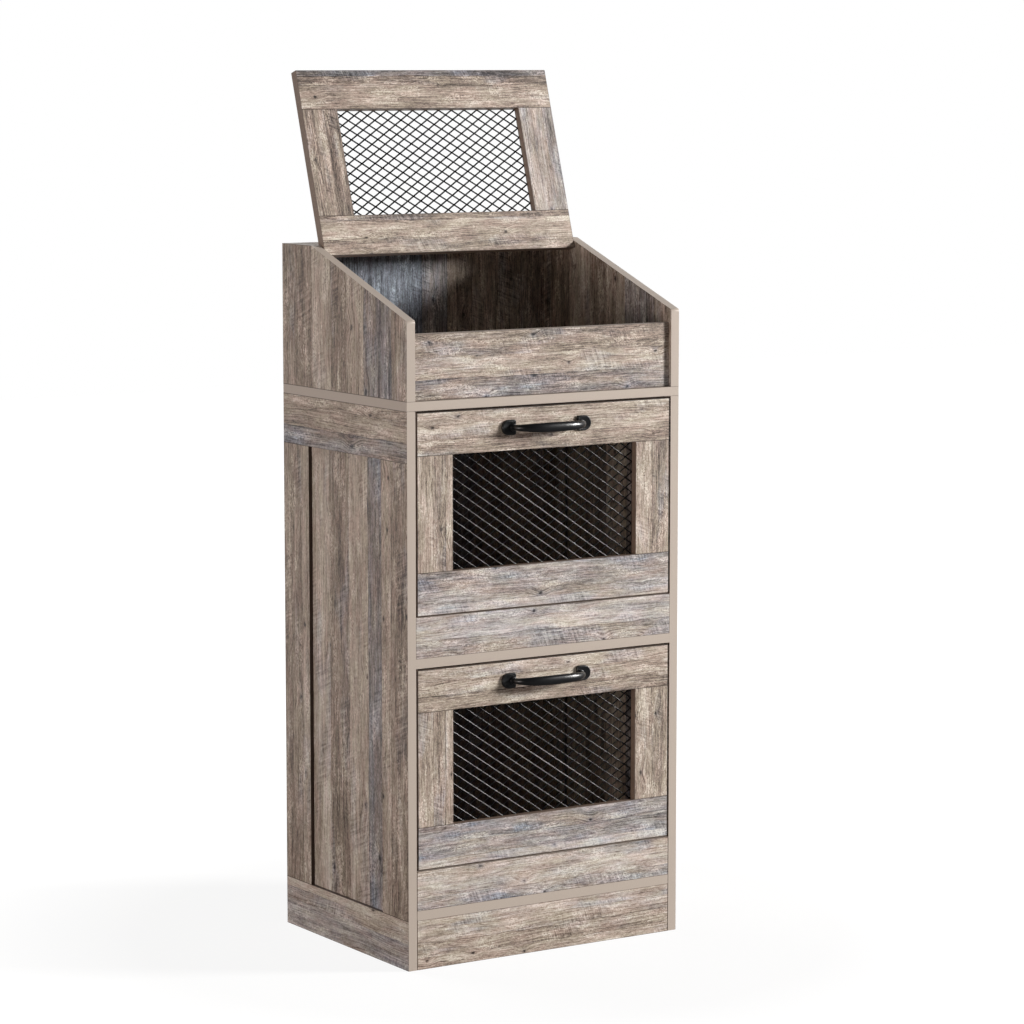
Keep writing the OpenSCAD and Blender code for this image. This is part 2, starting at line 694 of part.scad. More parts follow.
module strike_plate(z) color(STEEL) at_door(z) {
    block([-magnet_w / 2, board, strike_z - strike_h / 2], [magnet_w / 2, board + strike_t, strike_z + strike_h / 2]);
    strike_stem(0, 0);
}

module handle_screws(z) color(STEEL) at_door(z) for (s = [-1, 1])
    translate([s * foot_x, board, handle_z]) rotate([90, 0, 0]) {
        cylinder(r = handle_screw_r, h = board + handle_screw_depth, $fn = 32);
        translate([0, 0, -handle_head_h]) cylinder(r = handle_head_r, h = handle_head_h, $fn = 32);
    }

// Handle: a bow swept from plate to plate. Its middle line is a squared ellipse, its section an oval
// that grows from the ends to the middle.
grip_steps = 28;
grip_sides = 14;

function signed_power(v, e) = sign(v) * pow(abs(v), e);
function bow_point(turn) =
    [foot_x * signed_power(sin(turn), 2 / grip_square),
     -plate_t / 2 - (handle_reach - grip_t / 2 - plate_t / 2) * signed_power(cos(turn), 2 / grip_square)];
function bow_heading(turn) =
    let (ahead = bow_point(min(turn + 1, 90)), behind = bow_point(max(turn - 1, -90)), step = ahead - behind)
    step / norm(step);
function bow_ring(turn) =
    let (c = bow_point(turn),
         h = abs(turn) >= 90 ? [0, turn > 0 ? 1 : -1] : bow_heading(turn),
         half_h = (grip_h_end + (grip_h_mid - grip_h_end) * pow(cos(turn), 1.5)) / 2)
    [for (k = [0 : grip_sides - 1])
        let (a = 360 * k / grip_sides)
        [c[0] + h[1] * grip_t / 2 * cos(a), c[1] - h[0] * grip_t / 2 * cos(a), half_h * sin(a)]];

module grip() {
    turns = [for (k = [0 : grip_steps]) 180 * k / grip_steps - 90];
    points = [for (turn = turns) each bow_ring(turn)];
    walls = [for (k = [0 : grip_steps - 1]) for (m = [0 : grip_sides - 1])
        let (n = (m + 1) % grip_sides,
             a = k * grip_sides + m,
             b = k * grip_sides + n)
        each [[a, b, b + grip_sides], [a, b + grip_sides, a + grip_sides]]];
    first = [for (k = [grip_sides - 1 : -1 : 0]) k];
    last = [for (k = [0 : grip_sides - 1]) grip_steps * grip_sides + k];
    polyhedron(points = points, faces = concat([first, last], walls), convexity = 6);
}

// An end plate is a D: round on the outside, flat on the inside
module end_plate(s) translate([s * (handle_len - plate_h) / 2, 0, 0]) rotate([90, 0, 0]) linear_extrude(plate_t) {
    circle(r = plate_h / 2, $fn = 64);
    translate([s < 0 ? 0 : -(plate_w - plate_h / 2), -plate_h / 2]) square([plate_w - plate_h / 2, plate_h]);
}

module handle(z) color(BLACK) at_door(z) difference() {
    translate([0, 0, handle_z]) {
        grip();
        end_plate(-1);
        end_plate(1);
    }
    handle_holes();
}

module lower_door_top_rail() door_top_rail(lower_door_z);
module lower_door_bottom_rail() door_bottom_rail(lower_door_z);
module lower_door_left_stile() at_door(lower_door_z) frame_stile(DOOR, -1);
module lower_door_right_stile() at_door(lower_door_z) frame_stile(DOOR, 1);
module lower_door_mesh() at_door(lower_door_z) diamond_mesh(DOOR);
module lower_door_mesh_screws() at_door(lower_door_z) mesh_screws(DOOR);
module lower_door_dowels() at_door(lower_door_z) color(BEECH) frame_dowels(DOOR, 0, 0);
module lower_door_handle() handle(lower_door_z);
module lower_door_handle_screws() handle_screws(lower_door_z);
module lower_door_strike_plate() strike_plate(lower_door_z);

module upper_door_top_rail() door_top_rail(upper_door_z);
module upper_door_bottom_rail() door_bottom_rail(upper_door_z);
module upper_door_left_stile() at_door(upper_door_z) frame_stile(DOOR, -1);
module upper_door_right_stile() at_door(upper_door_z) frame_stile(DOOR, 1);
module upper_door_mesh() at_door(upper_door_z) diamond_mesh(DOOR);
module upper_door_mesh_screws() at_door(upper_door_z) mesh_screws(DOOR);
module upper_door_dowels() at_door(upper_door_z) color(BEECH) frame_dowels(DOOR, 0, 0);
module upper_door_handle() handle(upper_door_z);
module upper_door_handle_screws() handle_screws(upper_door_z);
module upper_door_strike_plate() strike_plate(upper_door_z);

left_front_stile();
left_rear_stile();
left_top_rail();
left_bottom_rail();
left_inset_panel();
right_front_stile();
right_rear_stile();
right_top_rail();
right_bottom_rail();
right_inset_panel();
bottom_board();
middle_shelf();
top_board();
kick_panel();
lower_retaining_panel();
upper_retaining_panel();
lower_back_panel();
upper_left_side();
upper_right_side();
upper_front_panel();
upper_back_panel();
rear_top_board();
cam_locks();
cam_bolts();
cabinet_dowels();
catch_housings();
catch_magnets();
catch_screws();
lid_pivot_pins();
lower_door_pivot_pins();
upper_door_pivot_pins();
lid_front_rail();
lid_rear_rail();
lid_left_stile();
lid_right_stile();
lid_mesh();
lid_mesh_screws();
lid_dowels();
lower_door_top_rail();
lower_door_bottom_rail();
lower_door_left_stile();
lower_door_right_stile();
lower_door_mesh();
lower_door_mesh_screws();
lower_door_dowels();
lower_door_handle();
lower_door_handle_screws();
lower_door_strike_plate();
upper_door_top_rail();
upper_door_bottom_rail();
upper_door_left_stile();
upper_door_right_stile();
upper_door_mesh();
upper_door_mesh_screws();
upper_door_dowels();
upper_door_handle();
upper_door_handle_screws();
upper_door_strike_plate();
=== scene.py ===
# %% [markdown]
# # A potato storage bin of printed board and wire mesh
#
# The real cabinet is a flat-pack one: boards with a paper print of weathered planks, plain edge banding on
# most edges that show, black wire mesh in the frames of its doors and its lid, and black cast handles. The
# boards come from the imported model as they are, and this script gives them their print. It models the mesh,
# the handles and the screws in full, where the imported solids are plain.

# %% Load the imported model
import math
import random

import bmesh
import bpy
from mathutils import Matrix, Vector


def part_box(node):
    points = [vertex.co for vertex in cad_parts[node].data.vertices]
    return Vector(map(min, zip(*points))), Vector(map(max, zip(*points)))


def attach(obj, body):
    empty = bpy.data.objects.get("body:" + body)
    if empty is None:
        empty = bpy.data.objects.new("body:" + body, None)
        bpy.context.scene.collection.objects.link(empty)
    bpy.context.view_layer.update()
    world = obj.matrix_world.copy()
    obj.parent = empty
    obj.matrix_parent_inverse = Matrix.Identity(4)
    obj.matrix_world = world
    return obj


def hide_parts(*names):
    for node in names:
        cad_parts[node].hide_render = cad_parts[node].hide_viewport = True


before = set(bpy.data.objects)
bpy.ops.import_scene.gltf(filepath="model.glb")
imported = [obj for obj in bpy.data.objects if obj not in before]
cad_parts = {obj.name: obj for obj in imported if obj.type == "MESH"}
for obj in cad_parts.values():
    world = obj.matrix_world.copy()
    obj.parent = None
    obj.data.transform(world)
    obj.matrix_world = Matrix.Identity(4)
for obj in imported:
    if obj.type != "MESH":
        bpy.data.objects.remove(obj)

X, Y, Z = Vector((1, 0, 0)), Vector((0, 1, 0)), Vector((0, 0, 1))
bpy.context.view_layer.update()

# %% [markdown]
# ## Camera
#
# The picture was taken from the front left with a long lens, at about the height of the open lid and
# looking a little down. Such a camera could be set by eye. This one was fitted to the corners of the
# cabinet, which gave the place, the direction and the lens below, so every board lies where the picture has
# it.

# %% Camera
PIXELS = 1024
FOCAL_PIXELS = 3585.4
SENSOR = 36.0
CAMERA_PLACE = -2.4182, -3.8248, 1.1085
CAMERA_TURN, CAMERA_TILT = math.radians(32.716), math.radians(-7.147)

camera_data = bpy.data.cameras.new("camera")
camera_data.sensor_width = SENSOR
camera_data.lens = SENSOR * FOCAL_PIXELS / PIXELS
camera_data.clip_end = 60
camera = bpy.data.objects.new("camera", camera_data)
bpy.context.scene.collection.objects.link(camera)
camera.location = CAMERA_PLACE
level_way = Vector((math.sin(CAMERA_TURN), math.cos(CAMERA_TURN), 0))
aim = math.cos(CAMERA_TILT) * level_way + math.sin(CAMERA_TILT) * Z
camera.rotation_euler = aim.to_track_quat("-Z", "Y").to_euler()
bpy.context.scene.camera = camera
bpy.context.scene.view_settings.view_transform = "Standard"
print(f"lens {camera_data.lens:.1f} mm, camera {camera.location.length:.2f} m away")

# %% [markdown]
# ## A short way to write shader nodes
#
# A finish could be built node by node, but it is easier to read as a sum than as a web of nodes. This class
# wraps the output of a node, and its operators add the Math node that does the sum. `add` makes any other
# node: its settings first, then the values or links of its sockets. The rest are short names for nodes used
# often.

# %% Signals
class Signal:
    """The output of a shader node, or of no node yet."""

    def __init__(self, tree, socket=None):
        self.tree, self.socket = tree, socket

    def add(self, kind, settings=(), inputs=(), output=0):
        """A new node of any kind, and the signal of one of its outputs."""
        node = self.tree.nodes.new(kind)
        for name, value in dict(settings).items():
            if name == "stops":
                ramp = node.color_ramp
                # A ramp starts with two stops, so only those between them are added
                for place, colour in value[1:-1]:
                    ramp.elements.new(place)
                for element, (place, colour) in zip(ramp.elements, value):
                    element.position, element.color = place, (*colour, 1)
            elif name == "blend":
                node.color_ramp.interpolation = value
            else:
                setattr(node, name, value)
        for name, value in dict(inputs).items():
            if isinstance(value, Signal):
                self.tree.links.new(value.socket, node.inputs[name])
            else:
                node.inputs[name].default_value = value
        return Signal(self.tree, node.outputs[output])

    def also(self, output):
        """Another output of the same node."""
        return Signal(self.tree, self.socket.node.outputs[output])

    def maths(self, operation, *values):
        return self.add("ShaderNodeMath", {"operation": operation}, enumerate(values))

    def __add__(self, other):
        return self.maths("ADD", self, other)

    def __sub__(self, other):
        return self.maths("SUBTRACT", self, other)

    def __rsub__(self, other):
        return self.maths("SUBTRACT", other, self)

    def __mul__(self, other):
        return self.maths("MULTIPLY", self, other)

    __radd__ = __add__
    __rmul__ = __mul__

    def __abs__(self):
        return self.maths("ABSOLUTE", self)

    def least(self, other):
        return self.maths("MINIMUM", self, other)

    def most(self, other):
        return self.maths("MAXIMUM", self, other)

    def step(self, low, high):
        """0 below low, 1 above high, and a smooth rise between them."""
        return self.add("ShaderNodeMapRange", {"interpolation_type": "SMOOTHSTEP"},
                        {"Value": self, "From Min": low, "From Max": high})

    def along(self, way):
        """How far this vector goes along a direction."""
        return self.add("ShaderNodeVectorMath", {"operation": "DOT_PRODUCT"}, {0: self, 1: way}, "Value")

    def point(self, x, y, z=0.0):
        return self.add("ShaderNodeCombineXYZ", (), {"X": x, "Y": y, "Z": z})

    def clouds(self, scale, detail=2.0, rough=0.5):
        """Cloudy noise from 0 to 1 at this place. Its patches are about 1 / scale wide."""
        return self.add("ShaderNodeTexNoise", (), {"Vector": self, "Scale": scale, "Detail": detail,
                                                   "Roughness": rough})

    def noise(self, x, y, z=0.0, detail=2.0, rough=0.5):
        """Cloudy noise from -0.5 to 0.5 at a place given by three numbers or signals."""
        return self.point(x, y, z).clouds(1.0, detail, rough) - 0.5

    def ramp(self, stops, blend="LINEAR"):
        """A colour looked up in stops of (place, colour)."""
        return self.add("ShaderNodeValToRGB", {"stops": stops, "blend": blend}, {"Fac": self})

    def channel(self, name):
        """One part of a colour: Red, Green or Blue."""
        return self.add("ShaderNodeSeparateColor", (), {"Color": self}, name)

    def mix(self, other, share, way="MIX"):
        """This colour going over to another one, a signal or a plain colour, by a share."""
        other = other if isinstance(other, Signal) else (*other, 1)
        return self.add("ShaderNodeMix", {"data_type": "RGBA", "blend_type": way},
                        {"Factor": share, 6: self, 7: other}, 2)

    def multiplied(self, other):
        return self.mix(other, 1.0, "MULTIPLY")


# %% Helpers for finishes
def srgb(*levels):
    """A colour as a picture editor shows it, 0 to 255, as the linear numbers that Blender uses."""
    return tuple(c / 255 / 12.92 if c <= 10.3 else ((c / 255 + 0.055) / 1.055) ** 2.4 for c in levels)


def new_finish(name):
    """A material with its Principled shader, and a signal to start from."""
    material = bpy.data.materials.new(name)
    material.use_nodes = True
    return material, material.node_tree.nodes["Principled BSDF"], Signal(material.node_tree)


def connect(shader, **sockets):
    """Links signals to a shader's sockets or sets plain values. An underscore in a name is a space."""
    for name, value in sockets.items():
        socket = shader.inputs[name.replace("_", " ")]
        if isinstance(value, Signal):
            value.tree.links.new(value.socket, socket)
        else:
            socket.default_value = value


def emboss(height, depth, strength=1.0):
    """A bump from a height signal, where 1 stands depth metres proud."""
    return height.add("ShaderNodeBump", (), {"Height": height, "Distance": depth, "Strength": strength})


def millimetres(start):
    """The place on the piece in millimetres. It stays with the piece when a door turns."""
    place = start.add("ShaderNodeTexCoord", output="Object")
    return place.add("ShaderNodeVectorMath", {"operation": "SCALE"}, {0: place, "Scale": 1000.0})


# %% [markdown]
# ## World, lamps and floor
#
# The picture is a studio one on pure white, with a dark room behind the camera. One white world would do
# for the background, but it would also light the inside of the bin and shine in every wire. So each kind of
# ray gets its own world. Camera rays see white all round. In reflections the paper is white behind the
# cabinet and the room is dim in front of it, which keeps black metal black. All other rays get a weak grey.

# %% World
ROOM_GREY = 0.10
ROOM_IN_REFLECTIONS = 0.07


def rays(start):
    """Two signals: 1 for the camera's rays, and 1 for those of a reflection or through a clear piece."""
    camera_ray = start.add("ShaderNodeLightPath", output="Is Camera Ray")
    return camera_ray, camera_ray.also("Is Glossy Ray").most(camera_ray.also("Is Transmission Ray"))


world = bpy.data.worlds.new("studio")
bpy.context.scene.world = world
world.use_nodes = True
start = Signal(world.node_tree)
camera_ray, shiny_ray = rays(start)
behind = start.add("ShaderNodeTexCoord", output="Generated").along(Y).step(0.1, 0.5)
reflected = behind * (1 - ROOM_IN_REFLECTIONS) + ROOM_IN_REFLECTIONS
strength = camera_ray + (1 - camera_ray) * (shiny_ray * (reflected - ROOM_GREY) + ROOM_GREY)
connect(world.node_tree.nodes["Background"], Color=(1, 1, 1, 1), Strength=strength)
print("world: white to the camera, grey", ROOM_GREY, "as light")

# %% [markdown]
# The glint on only one slant of the wires and the short shadows of the door frames give the place of the
# main lamp: far round to the right and low. A lamp high behind the cabinet lights tops and backs, and a low
# and slightly warm one at the left lights the side. A sun would be simpler to set, but its shadows are
# harder than those in the picture. Together the lamps light the front so that a colour comes out about as
# it is written.

# %% Lamps
LAMPS_LOOK_AT = Vector((0, 0, 0.5))


def lamp(name, turn, height, distance, size, level, colour):
    """A lamp aimed at the middle of the cabinet. turn counts from the front to the right, in degrees.

    height is in degrees too, and distance in metres. Level 1 lights a face that looks at the lamp to its
    own colour.
    """
    data = bpy.data.lights.new(name, "AREA")
    data.shape = "RECTANGLE"
    data.size, data.size_y = size
    data.color = colour
    data.energy = level * (math.pi * distance) ** 2
    piece = bpy.data.objects.new(name, data)
    turn, height = math.radians(turn), math.radians(height)
    way = Vector((math.sin(turn) * math.cos(height), -math.cos(turn) * math.cos(height), math.sin(height)))
    piece.location = LAMPS_LOOK_AT + distance * way
    piece.rotation_euler = way.to_track_quat("Z", "Y").to_euler()
    piece.visible_camera = False
    bpy.context.scene.collection.objects.link(piece)
    print(f"{name} lights the front to {max(0, -way.y) * level:.2f} and tops to {way.z * level:.2f}")


lamp("main_lamp", 57, 14, 6.0, (1.1, 1.1), 1.50, (1, 0.985, 0.97))
lamp("rear_lamp", -160, 42, 3.4, (1.6, 1.0), 0.30, (1, 1, 1))
lamp("side_lamp", -72, 1, 3.0, (1.6, 0.6), 0.34, (1, 0.89, 0.85))

# %% [markdown]
# The floor is white paper. Plain white paint would turn grey where the lamps fade. So the paper gives off
# most of what the camera sees of it, and a thin share of it is lit, which keeps the shadow of the cabinet.
# In reflections its front part is as dim as the room. What it throws back onto the boards is the light of
# dull grey paper, or it would fill the shade under them.

# %% Floor
FLOOR_SIZE = 14
PAPER_SEEN, PAPER_AS_LIGHT = 0.80, 0.25
GLOW_SHARE = 0.80
GLOW = [(0.0, (1.08, 1.08, 1.08)), (0.45, (1.08, 1.08, 1.08)), (1.0, (1.3, 1.3, 1.3))]

bpy.ops.mesh.primitive_plane_add(size=FLOOR_SIZE, location=(0, 0, 0))
floor = bpy.context.object
floor.name = "floor"
floor_finish = bpy.data.materials.new("studio_floor")
floor_finish.use_nodes = True
nodes = floor_finish.node_tree.nodes
nodes.remove(nodes["Principled BSDF"])
start = Signal(floor_finish.node_tree)
camera_ray, shiny_ray = rays(start)
seen = camera_ray.most(shiny_ray)
on_floor = start.add("ShaderNodeTexCoord", output="Object")
away = start.add("ShaderNodeVectorMath", {"operation": "LENGTH"}, {0: on_floor}, "Value")
behind = on_floor.along(Y).step(0.3, 1.5)
dim = 1 - shiny_ray * (1 - behind) * (1 - ROOM_IN_REFLECTIONS)
grey = seen * (PAPER_SEEN - PAPER_AS_LIGHT) + PAPER_AS_LIGHT
paper = start.add("ShaderNodeBsdfDiffuse", (), {"Color": grey})
glow = start.add("ShaderNodeEmission", (), {"Strength": dim, "Color": away.ramp(GLOW)})
shown = start.add("ShaderNodeMixShader", (), {"Fac": seen * GLOW_SHARE, 1: paper, 2: glow})
floor_finish.node_tree.links.new(shown.socket, nodes["Material Output"].inputs["Surface"])
floor.data.materials.append(floor_finish)
print("floor of", FLOOR_SIZE, "m, of which the camera sees", GLOW_SHARE, "as glow")

# %% [markdown]
# ## The plank print
#
# Every board is faced with paper printed with weathered planks. The print has planks side by side, each
# with its own tone, and in each plank streaks along the grain that bend round small dark knots, pale worn
# patches, grey-blue stains, and fine saw marks across. A picture could be wrapped on, but here all of it is
# noise stretched along the grain, which has no seam, is sharp from any distance and differs on every board.

# %% Tones of the print
WARM = [(0.0, srgb(52, 43, 38)), (0.2, srgb(106, 92, 82)), (0.4, srgb(148, 132, 119)),
        (0.6, srgb(183, 167, 152)), (0.8, srgb(208, 195, 181)), (1.0, srgb(228, 219, 208))]
COOL = [(0.0, srgb(50, 48, 51)), (0.2, srgb(96, 93, 96)), (0.4, srgb(136, 132, 134)),
        (0.6, srgb(170, 166, 167)), (0.8, srgb(198, 193, 193)), (1.0, srgb(222, 218, 216))]
# Cloudy patches are multiplied by these, and the bluest places by SLATE_AND_SHEEN: a slate tint of real
# stains, and on the blue planks at the back of the bin a painted bluish sheen
TINTS = [(0.3, (0.98, 1.0, 0.965)), (0.5, (1, 1, 1)), (0.7, (1.03, 0.98, 0.985))]
SLATE_AND_SHEEN = (0.82, 0.98, 1.14)
print("the print runs through", len(WARM), "warm tones and", len(COOL), "cool ones")

# %% [markdown]
# ### Figure of one plank
#
# The sums below work out how light the print is at a place, how blue its stains are and how deep its pores.
# `u` runs along the grain and `w` across it, in millimetres, and each factor says how many patches of noise
# lie in a millimetre. Noise fed with `u * 0.014` changes slowly along the grain, noise fed with `ring *
# 0.95` changes fast across it, and together they give a hair streak. `ring` is `w` pushed aside round the
# knots, so what is fed with it bends round them.

# %% Knots
KNOT_APART = 70, 48
KNOT_PUSH = 5


def knots(u, w):
    """The dark middles of knots, the stain round them, and how far they push the grain aside."""
    place = u.point(u * (1 / KNOT_APART[0]), w * (1 / KNOT_APART[1]))
    cell = u.add("ShaderNodeTexVoronoi", {"voronoi_dimensions": "2D"}, {"Vector": place, "Scale": 1.0},
                 "Distance")
    # A cell has a random colour, and only about half of the cells keep their knot
    kept = cell.also("Color").channel("Red").step(0.54, 0.56)
    near = cell + u.noise(u * 0.25, w * 0.4, detail=2) * 0.06
    knot = kept * (1 - near.step(0.008, 0.050))
    halo = kept * (1 - near.step(0.02, 0.12))
    push = kept * (1 - cell.step(0.0, 0.30)) * KNOT_PUSH
    return knot, halo, push


# %% Figure
def figure(u, w, seed):
    """How light the print is at a place, how blue its stains are, and how deep its pores."""
    knot, halo, push = knots(u, w)
    ring = w + push + u.noise(u * (1 / 130), w * (1 / 45), detail=1) * 12

    hair = u.noise(u * 0.014, ring * 0.95, seed, detail=3, rough=0.62)
    broad = u.noise(u * 0.006, ring * 0.10, seed + 3.1, detail=2)
    mottle = u.noise(u * 0.14, ring * 0.62, seed + 1.7, detail=4, rough=0.75)
    worn = u.noise(u * 0.020, w * 0.080, seed + 5.3, detail=6, rough=0.72)
    speck = u.noise(u * 0.50, w * 0.75, seed + 9.4, detail=2, rough=0.6)
    crack = abs(u.noise(u * 0.012, ring * 0.26, seed + 7.2, detail=3))
    zone = u.noise(u * 0.010, w * 0.030, seed + 6.1, detail=3).step(0.03, 0.12)
    sawn = u.noise(u * 0.42 + w * 0.16, w * 0.04, seed + 2.2, detail=2, rough=0.6)
    stain = u.noise(u * 0.010, ring * 0.06, seed + 4.4, detail=4, rough=0.6)

    pores = hair * 1.35 + mottle * 0.95 - (1 - crack.step(0.0, 0.024)) * 0.17 - knot * 0.45
    light = (pores + broad * 0.50 + worn * 0.90 + worn.step(0.03, 0.10) * (0.09 + speck * 1.3)
             + speck * 0.55 + zone * sawn * 0.85 - halo * 0.09)
    blue = stain * 1.6 + mottle * 0.7 + zone * 0.30 + halo * 0.22
    return light, blue, pores


# %% [markdown]
# ### Planks side by side
#
# Each plank of a board is written as (share of the width where it starts, tone, blueness). Cutting the
# board into planks would leave real joints, where the paper has only printed ones. So a ramp of steps
# across the board looks up the tone and blueness at a place, and a random number that shifts the figure, so
# no two planks show the same streaks. Boards that hardly show draw their planks at random.

# %% Planks
SEAM = 1.0
PLANK_WIDTHS = 25, 60
SHIFT_ALONG, SHIFT_ACROSS, SHIFT_OF_SEED = 900, 400, 13.7


def planks_at_random(width, seed):
    """Planks of random widths, tones and blueness that fill a board's width in millimetres."""
    draw = random.Random(seed)
    edges = [0.0]
    while edges[-1] < width - PLANK_WIDTHS[0]:
        edges.append(edges[-1] + draw.uniform(*PLANK_WIDTHS))
    return [(edge / width, draw.uniform(0.36, 0.66), draw.choice((0.0, 0.1, 0.25, 0.6))) for edge in edges]


def plank_wood(u, v, low, high, seed, planks, level, scale):
    """The colour of the print and the depth of its pores on a board that lies from low to high across v.

    level makes all planks lighter, and a scale under 1 makes the figure coarser.
    """
    draw = random.Random(seed)
    stops = [(min(share, 1.0), (tone, blue, draw.random())) for share, tone, blue in planks]
    ragged = v + u.noise(u * 0.02, 7.7 + seed, detail=4, rough=0.6) * 6
    tone = ((ragged - low) * (1 / (high - low))).ramp(stops, "CONSTANT").channel("Red")
    shift = tone.also("Blue")
    next_shift = ((ragged - low + SEAM) * (1 / (high - low))).ramp(stops, "CONSTANT").channel("Blue")
    seam = abs(shift - next_shift).step(0.0, 0.01)

    light, blue, pores = figure((u + shift * SHIFT_ALONG + seed * SHIFT_OF_SEED) * scale,
                                (v + shift * SHIFT_ACROSS) * scale, seed)
    light = light + tone + level - seam * 0.13
    blueness = blue + tone.also("Green")
    wood = light.ramp(WARM).mix(light.ramp(COOL), blueness.step(0.10, 1.05))
    tint = u.noise(u * 0.03, v * 0.10, seed + 12.5, detail=3) * 1.6 + 0.5
    wood = wood.multiplied(tint.ramp(TINTS))
    # The bluest places get a slate tint: real stains, and on the bin's back a painted bluish sheen
    return wood.multiplied(blueness.step(0.9, 1.3).ramp([(0.0, (1, 1, 1)), (1.0, SLATE_AND_SHEEN)])), pores


# %% [markdown]
# ### Edges of a board
#
# The paper ends at the edges of the board. A thin brown line shows there. Where the board borders on a gap,
# a nearly black line along it is painted shade of the gap. Some cut edges carry smooth banding, and the
# others show pressed chips. Each could be a material of its own on its own faces, but the print reads the
# direction that a face looks in, so one material does for the whole board.

# %% Lines along the edges
JOINT, JOINT_WIDTH = srgb(62, 48, 39), 0.5
# The nearly black line along an edge at a gap is painted shade of the gap
GAP_SHADE, GAP_SHADE_WIDTH = srgb(15, 12, 10), 0.9
# The sides of a printed face: the two ends of the grain, and the low and the high side across it
START, END, LOW, HIGH = range(4)


def line(distance, width):
    """1 nearer to an edge than width millimetres, and 0 further away."""
    return 1 - distance.step(0.7 * width, 1.3 * width)


def outlined(wood, edges, gaps):
    """Adds the brown line along all edges, and a black line of painted shade along those that border on a
    gap.
    """
    nearest = edges[START].least(edges[END]).least(edges[LOW].least(edges[HIGH]))
    wood = wood.mix(JOINT, line(nearest, JOINT_WIDTH) * 0.8)
    # The black line at each gap is painted shade of that gap
    for side in gaps:
        wood = wood.mix(GAP_SHADE, line(edges[side], GAP_SHADE_WIDTH))
    return wood


# %% Banding and bare chips
BAND = srgb(189, 176, 164)
RAW_BOARD = srgb(150, 122, 96)
RAW_FRAME = srgb(132, 112, 98)
# Raw board of the side frames, darkened to nearly black: painted shade of the recess round the inset panel
RAW_SIDE_SHADE = srgb(56, 43, 35)


def shades(colour, dark, pale, spread):
    """Ramp stops from a darker to a paler shade of a colour, spread round the middle."""
    return [(0.5 - spread, tuple(dark * c for c in colour)),
            (0.5 + spread, tuple(pale * c for c in colour))]


def bare_edge(place, normal, grit, raw):
    """Chips of the colour raw, and of pale board on the rear edges."""
    chips = grit * 0.65 + place.clouds(0.018, detail=3) * 0.35
    front = chips.ramp(shades(raw, 0.70, 1.25, 0.14))
    return front.mix(chips.ramp(shades(RAW_BOARD, 0.70, 1.25, 0.14)), normal.along(Y).step(0.6, 0.8))


def banded_edge(edge, normal, grit, bands, rims):
    """Lays banding over the edges that look along one of the directions in bands.

    rims is the distance to the nearer face, where the banding shows a brown line, or None for no line.
    """
    banded = normal.along(bands[0])
    for way in bands[1:]:
        banded = banded.most(normal.along(way))
    banding = grit.ramp(shades(BAND, 0.96, 1.04, 0.2))
    if rims is not None:
        banding = banding.mix(JOINT, line(rims, JOINT_WIDTH) * 0.7)
    return edge.mix(banding, banded.step(0.4, 0.6))


# %% Dressing a board
def reach(node, way):
    """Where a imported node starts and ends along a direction, in millimetres."""
    along = [1000 * v.co.dot(way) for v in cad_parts[node].data.vertices]
    return min(along), max(along)


def dress(node, material):
    """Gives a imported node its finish."""
    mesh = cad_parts[node].data
    mesh.materials.clear()
    mesh.materials.append(material)


def print_board(node, grain, across, facing, seed, planks=None, level=0.0, bands=(-Y,), raw=RAW_BOARD,
                inside_only=False, lined=False, gaps=(), scale=1.0):
    """Works out where a board lies, and dresses it with print, banding and bare edges.

    The planks run along grain and lie side by side along across. The print is on the two faces that look
    along facing, or on the inner one alone. bands are the directions of the banded edges, lined draws a
    brown line along them, and gaps are the sides of the face that border on a gap, where a black line of
    painted shade is drawn.
    """
    material, shader, start = new_finish("print_" + node)
    place = millimetres(start)
    normal = start.add("ShaderNodeTexCoord", output="Normal")
    u, v, depth = (place.along(way) for way in (grain, across, facing))
    (u_low, u_high), (low, high), (back, front) = (reach(node, way) for way in (grain, across, facing))

    planks = planks or planks_at_random(high - low, seed)
    wood, pores = plank_wood(u, v, low, high, seed, planks, level, scale)
    wood = outlined(wood, (u - u_low, u_high - u, v - low, high - v), gaps)
    grit = place.clouds(0.5, detail=5, rough=0.7)
    edge = bare_edge(place, normal, grit, raw)
    if bands:
        rims = (depth - back).least(front - depth) if lined else None
        edge = banded_edge(edge, normal, grit, bands, rims)

    facing_it = -1 * normal.along(facing) if inside_only else abs(normal.along(facing))
    face = facing_it.step(0.75, 0.9)
    height = face * (pores * 0.5 + 0.3) + (1 - face) * grit * 0.3
    connect(shader, Base_Color=edge.mix(wood, face), Roughness=face * (pores * 0.25 + 0.08) + 0.44,
            Normal=emboss(height, 0.0006, 0.5), Specular_IOR_Level=0.3)
    dress(node, material)
    size = f"{u_high - u_low:.0f} x {high - low:.0f} x {front - back:.0f} mm"
    print(node, "is", size, "with", len(planks), "planks")


# %% [markdown]
# ## Boards of the front
#
# The grain runs across the cabinet on panels and rails, and upright on the stiles of the doors. Random
# planks would do for a cabinet of this kind, but the front is what is seen first, so the planks of each
# board follow the real one in width and tone. The cut edges inside the door frames carry no banding: they
# are a dull brown.

# %% Front panels
LAID = X, Z, Y
UPRIGHT = Z, X, Y

print_board("upper_front_panel", *LAID, 11, [(0, 0.43, 0.50), (0.31, 0.57, 0.28), (0.64, 0.44, 0.25)],
            bands=(Z,))
print_board("upper_retaining_panel", *LAID, 12, [(0, 0.55, 0.55), (0.42, 0.69, 0.6), (0.8, 0.65, 0.65)],
            bands=(-Y, Z))
print_board("lower_retaining_panel", *LAID, 13, [(0, 0.57, 0.5), (0.30, 0.69, 0.45), (0.72, 0.64, 0.4)],
            bands=(-Y, Z))
print_board("kick_panel", *LAID, 14,
            [(0, 0.62, 0.0), (0.20, 0.51, 0.1), (0.50, 0.61, 0.2), (0.78, 0.68, 0.3)])

# %% Door frames
FRAME = {"bands": (), "raw": RAW_FRAME}
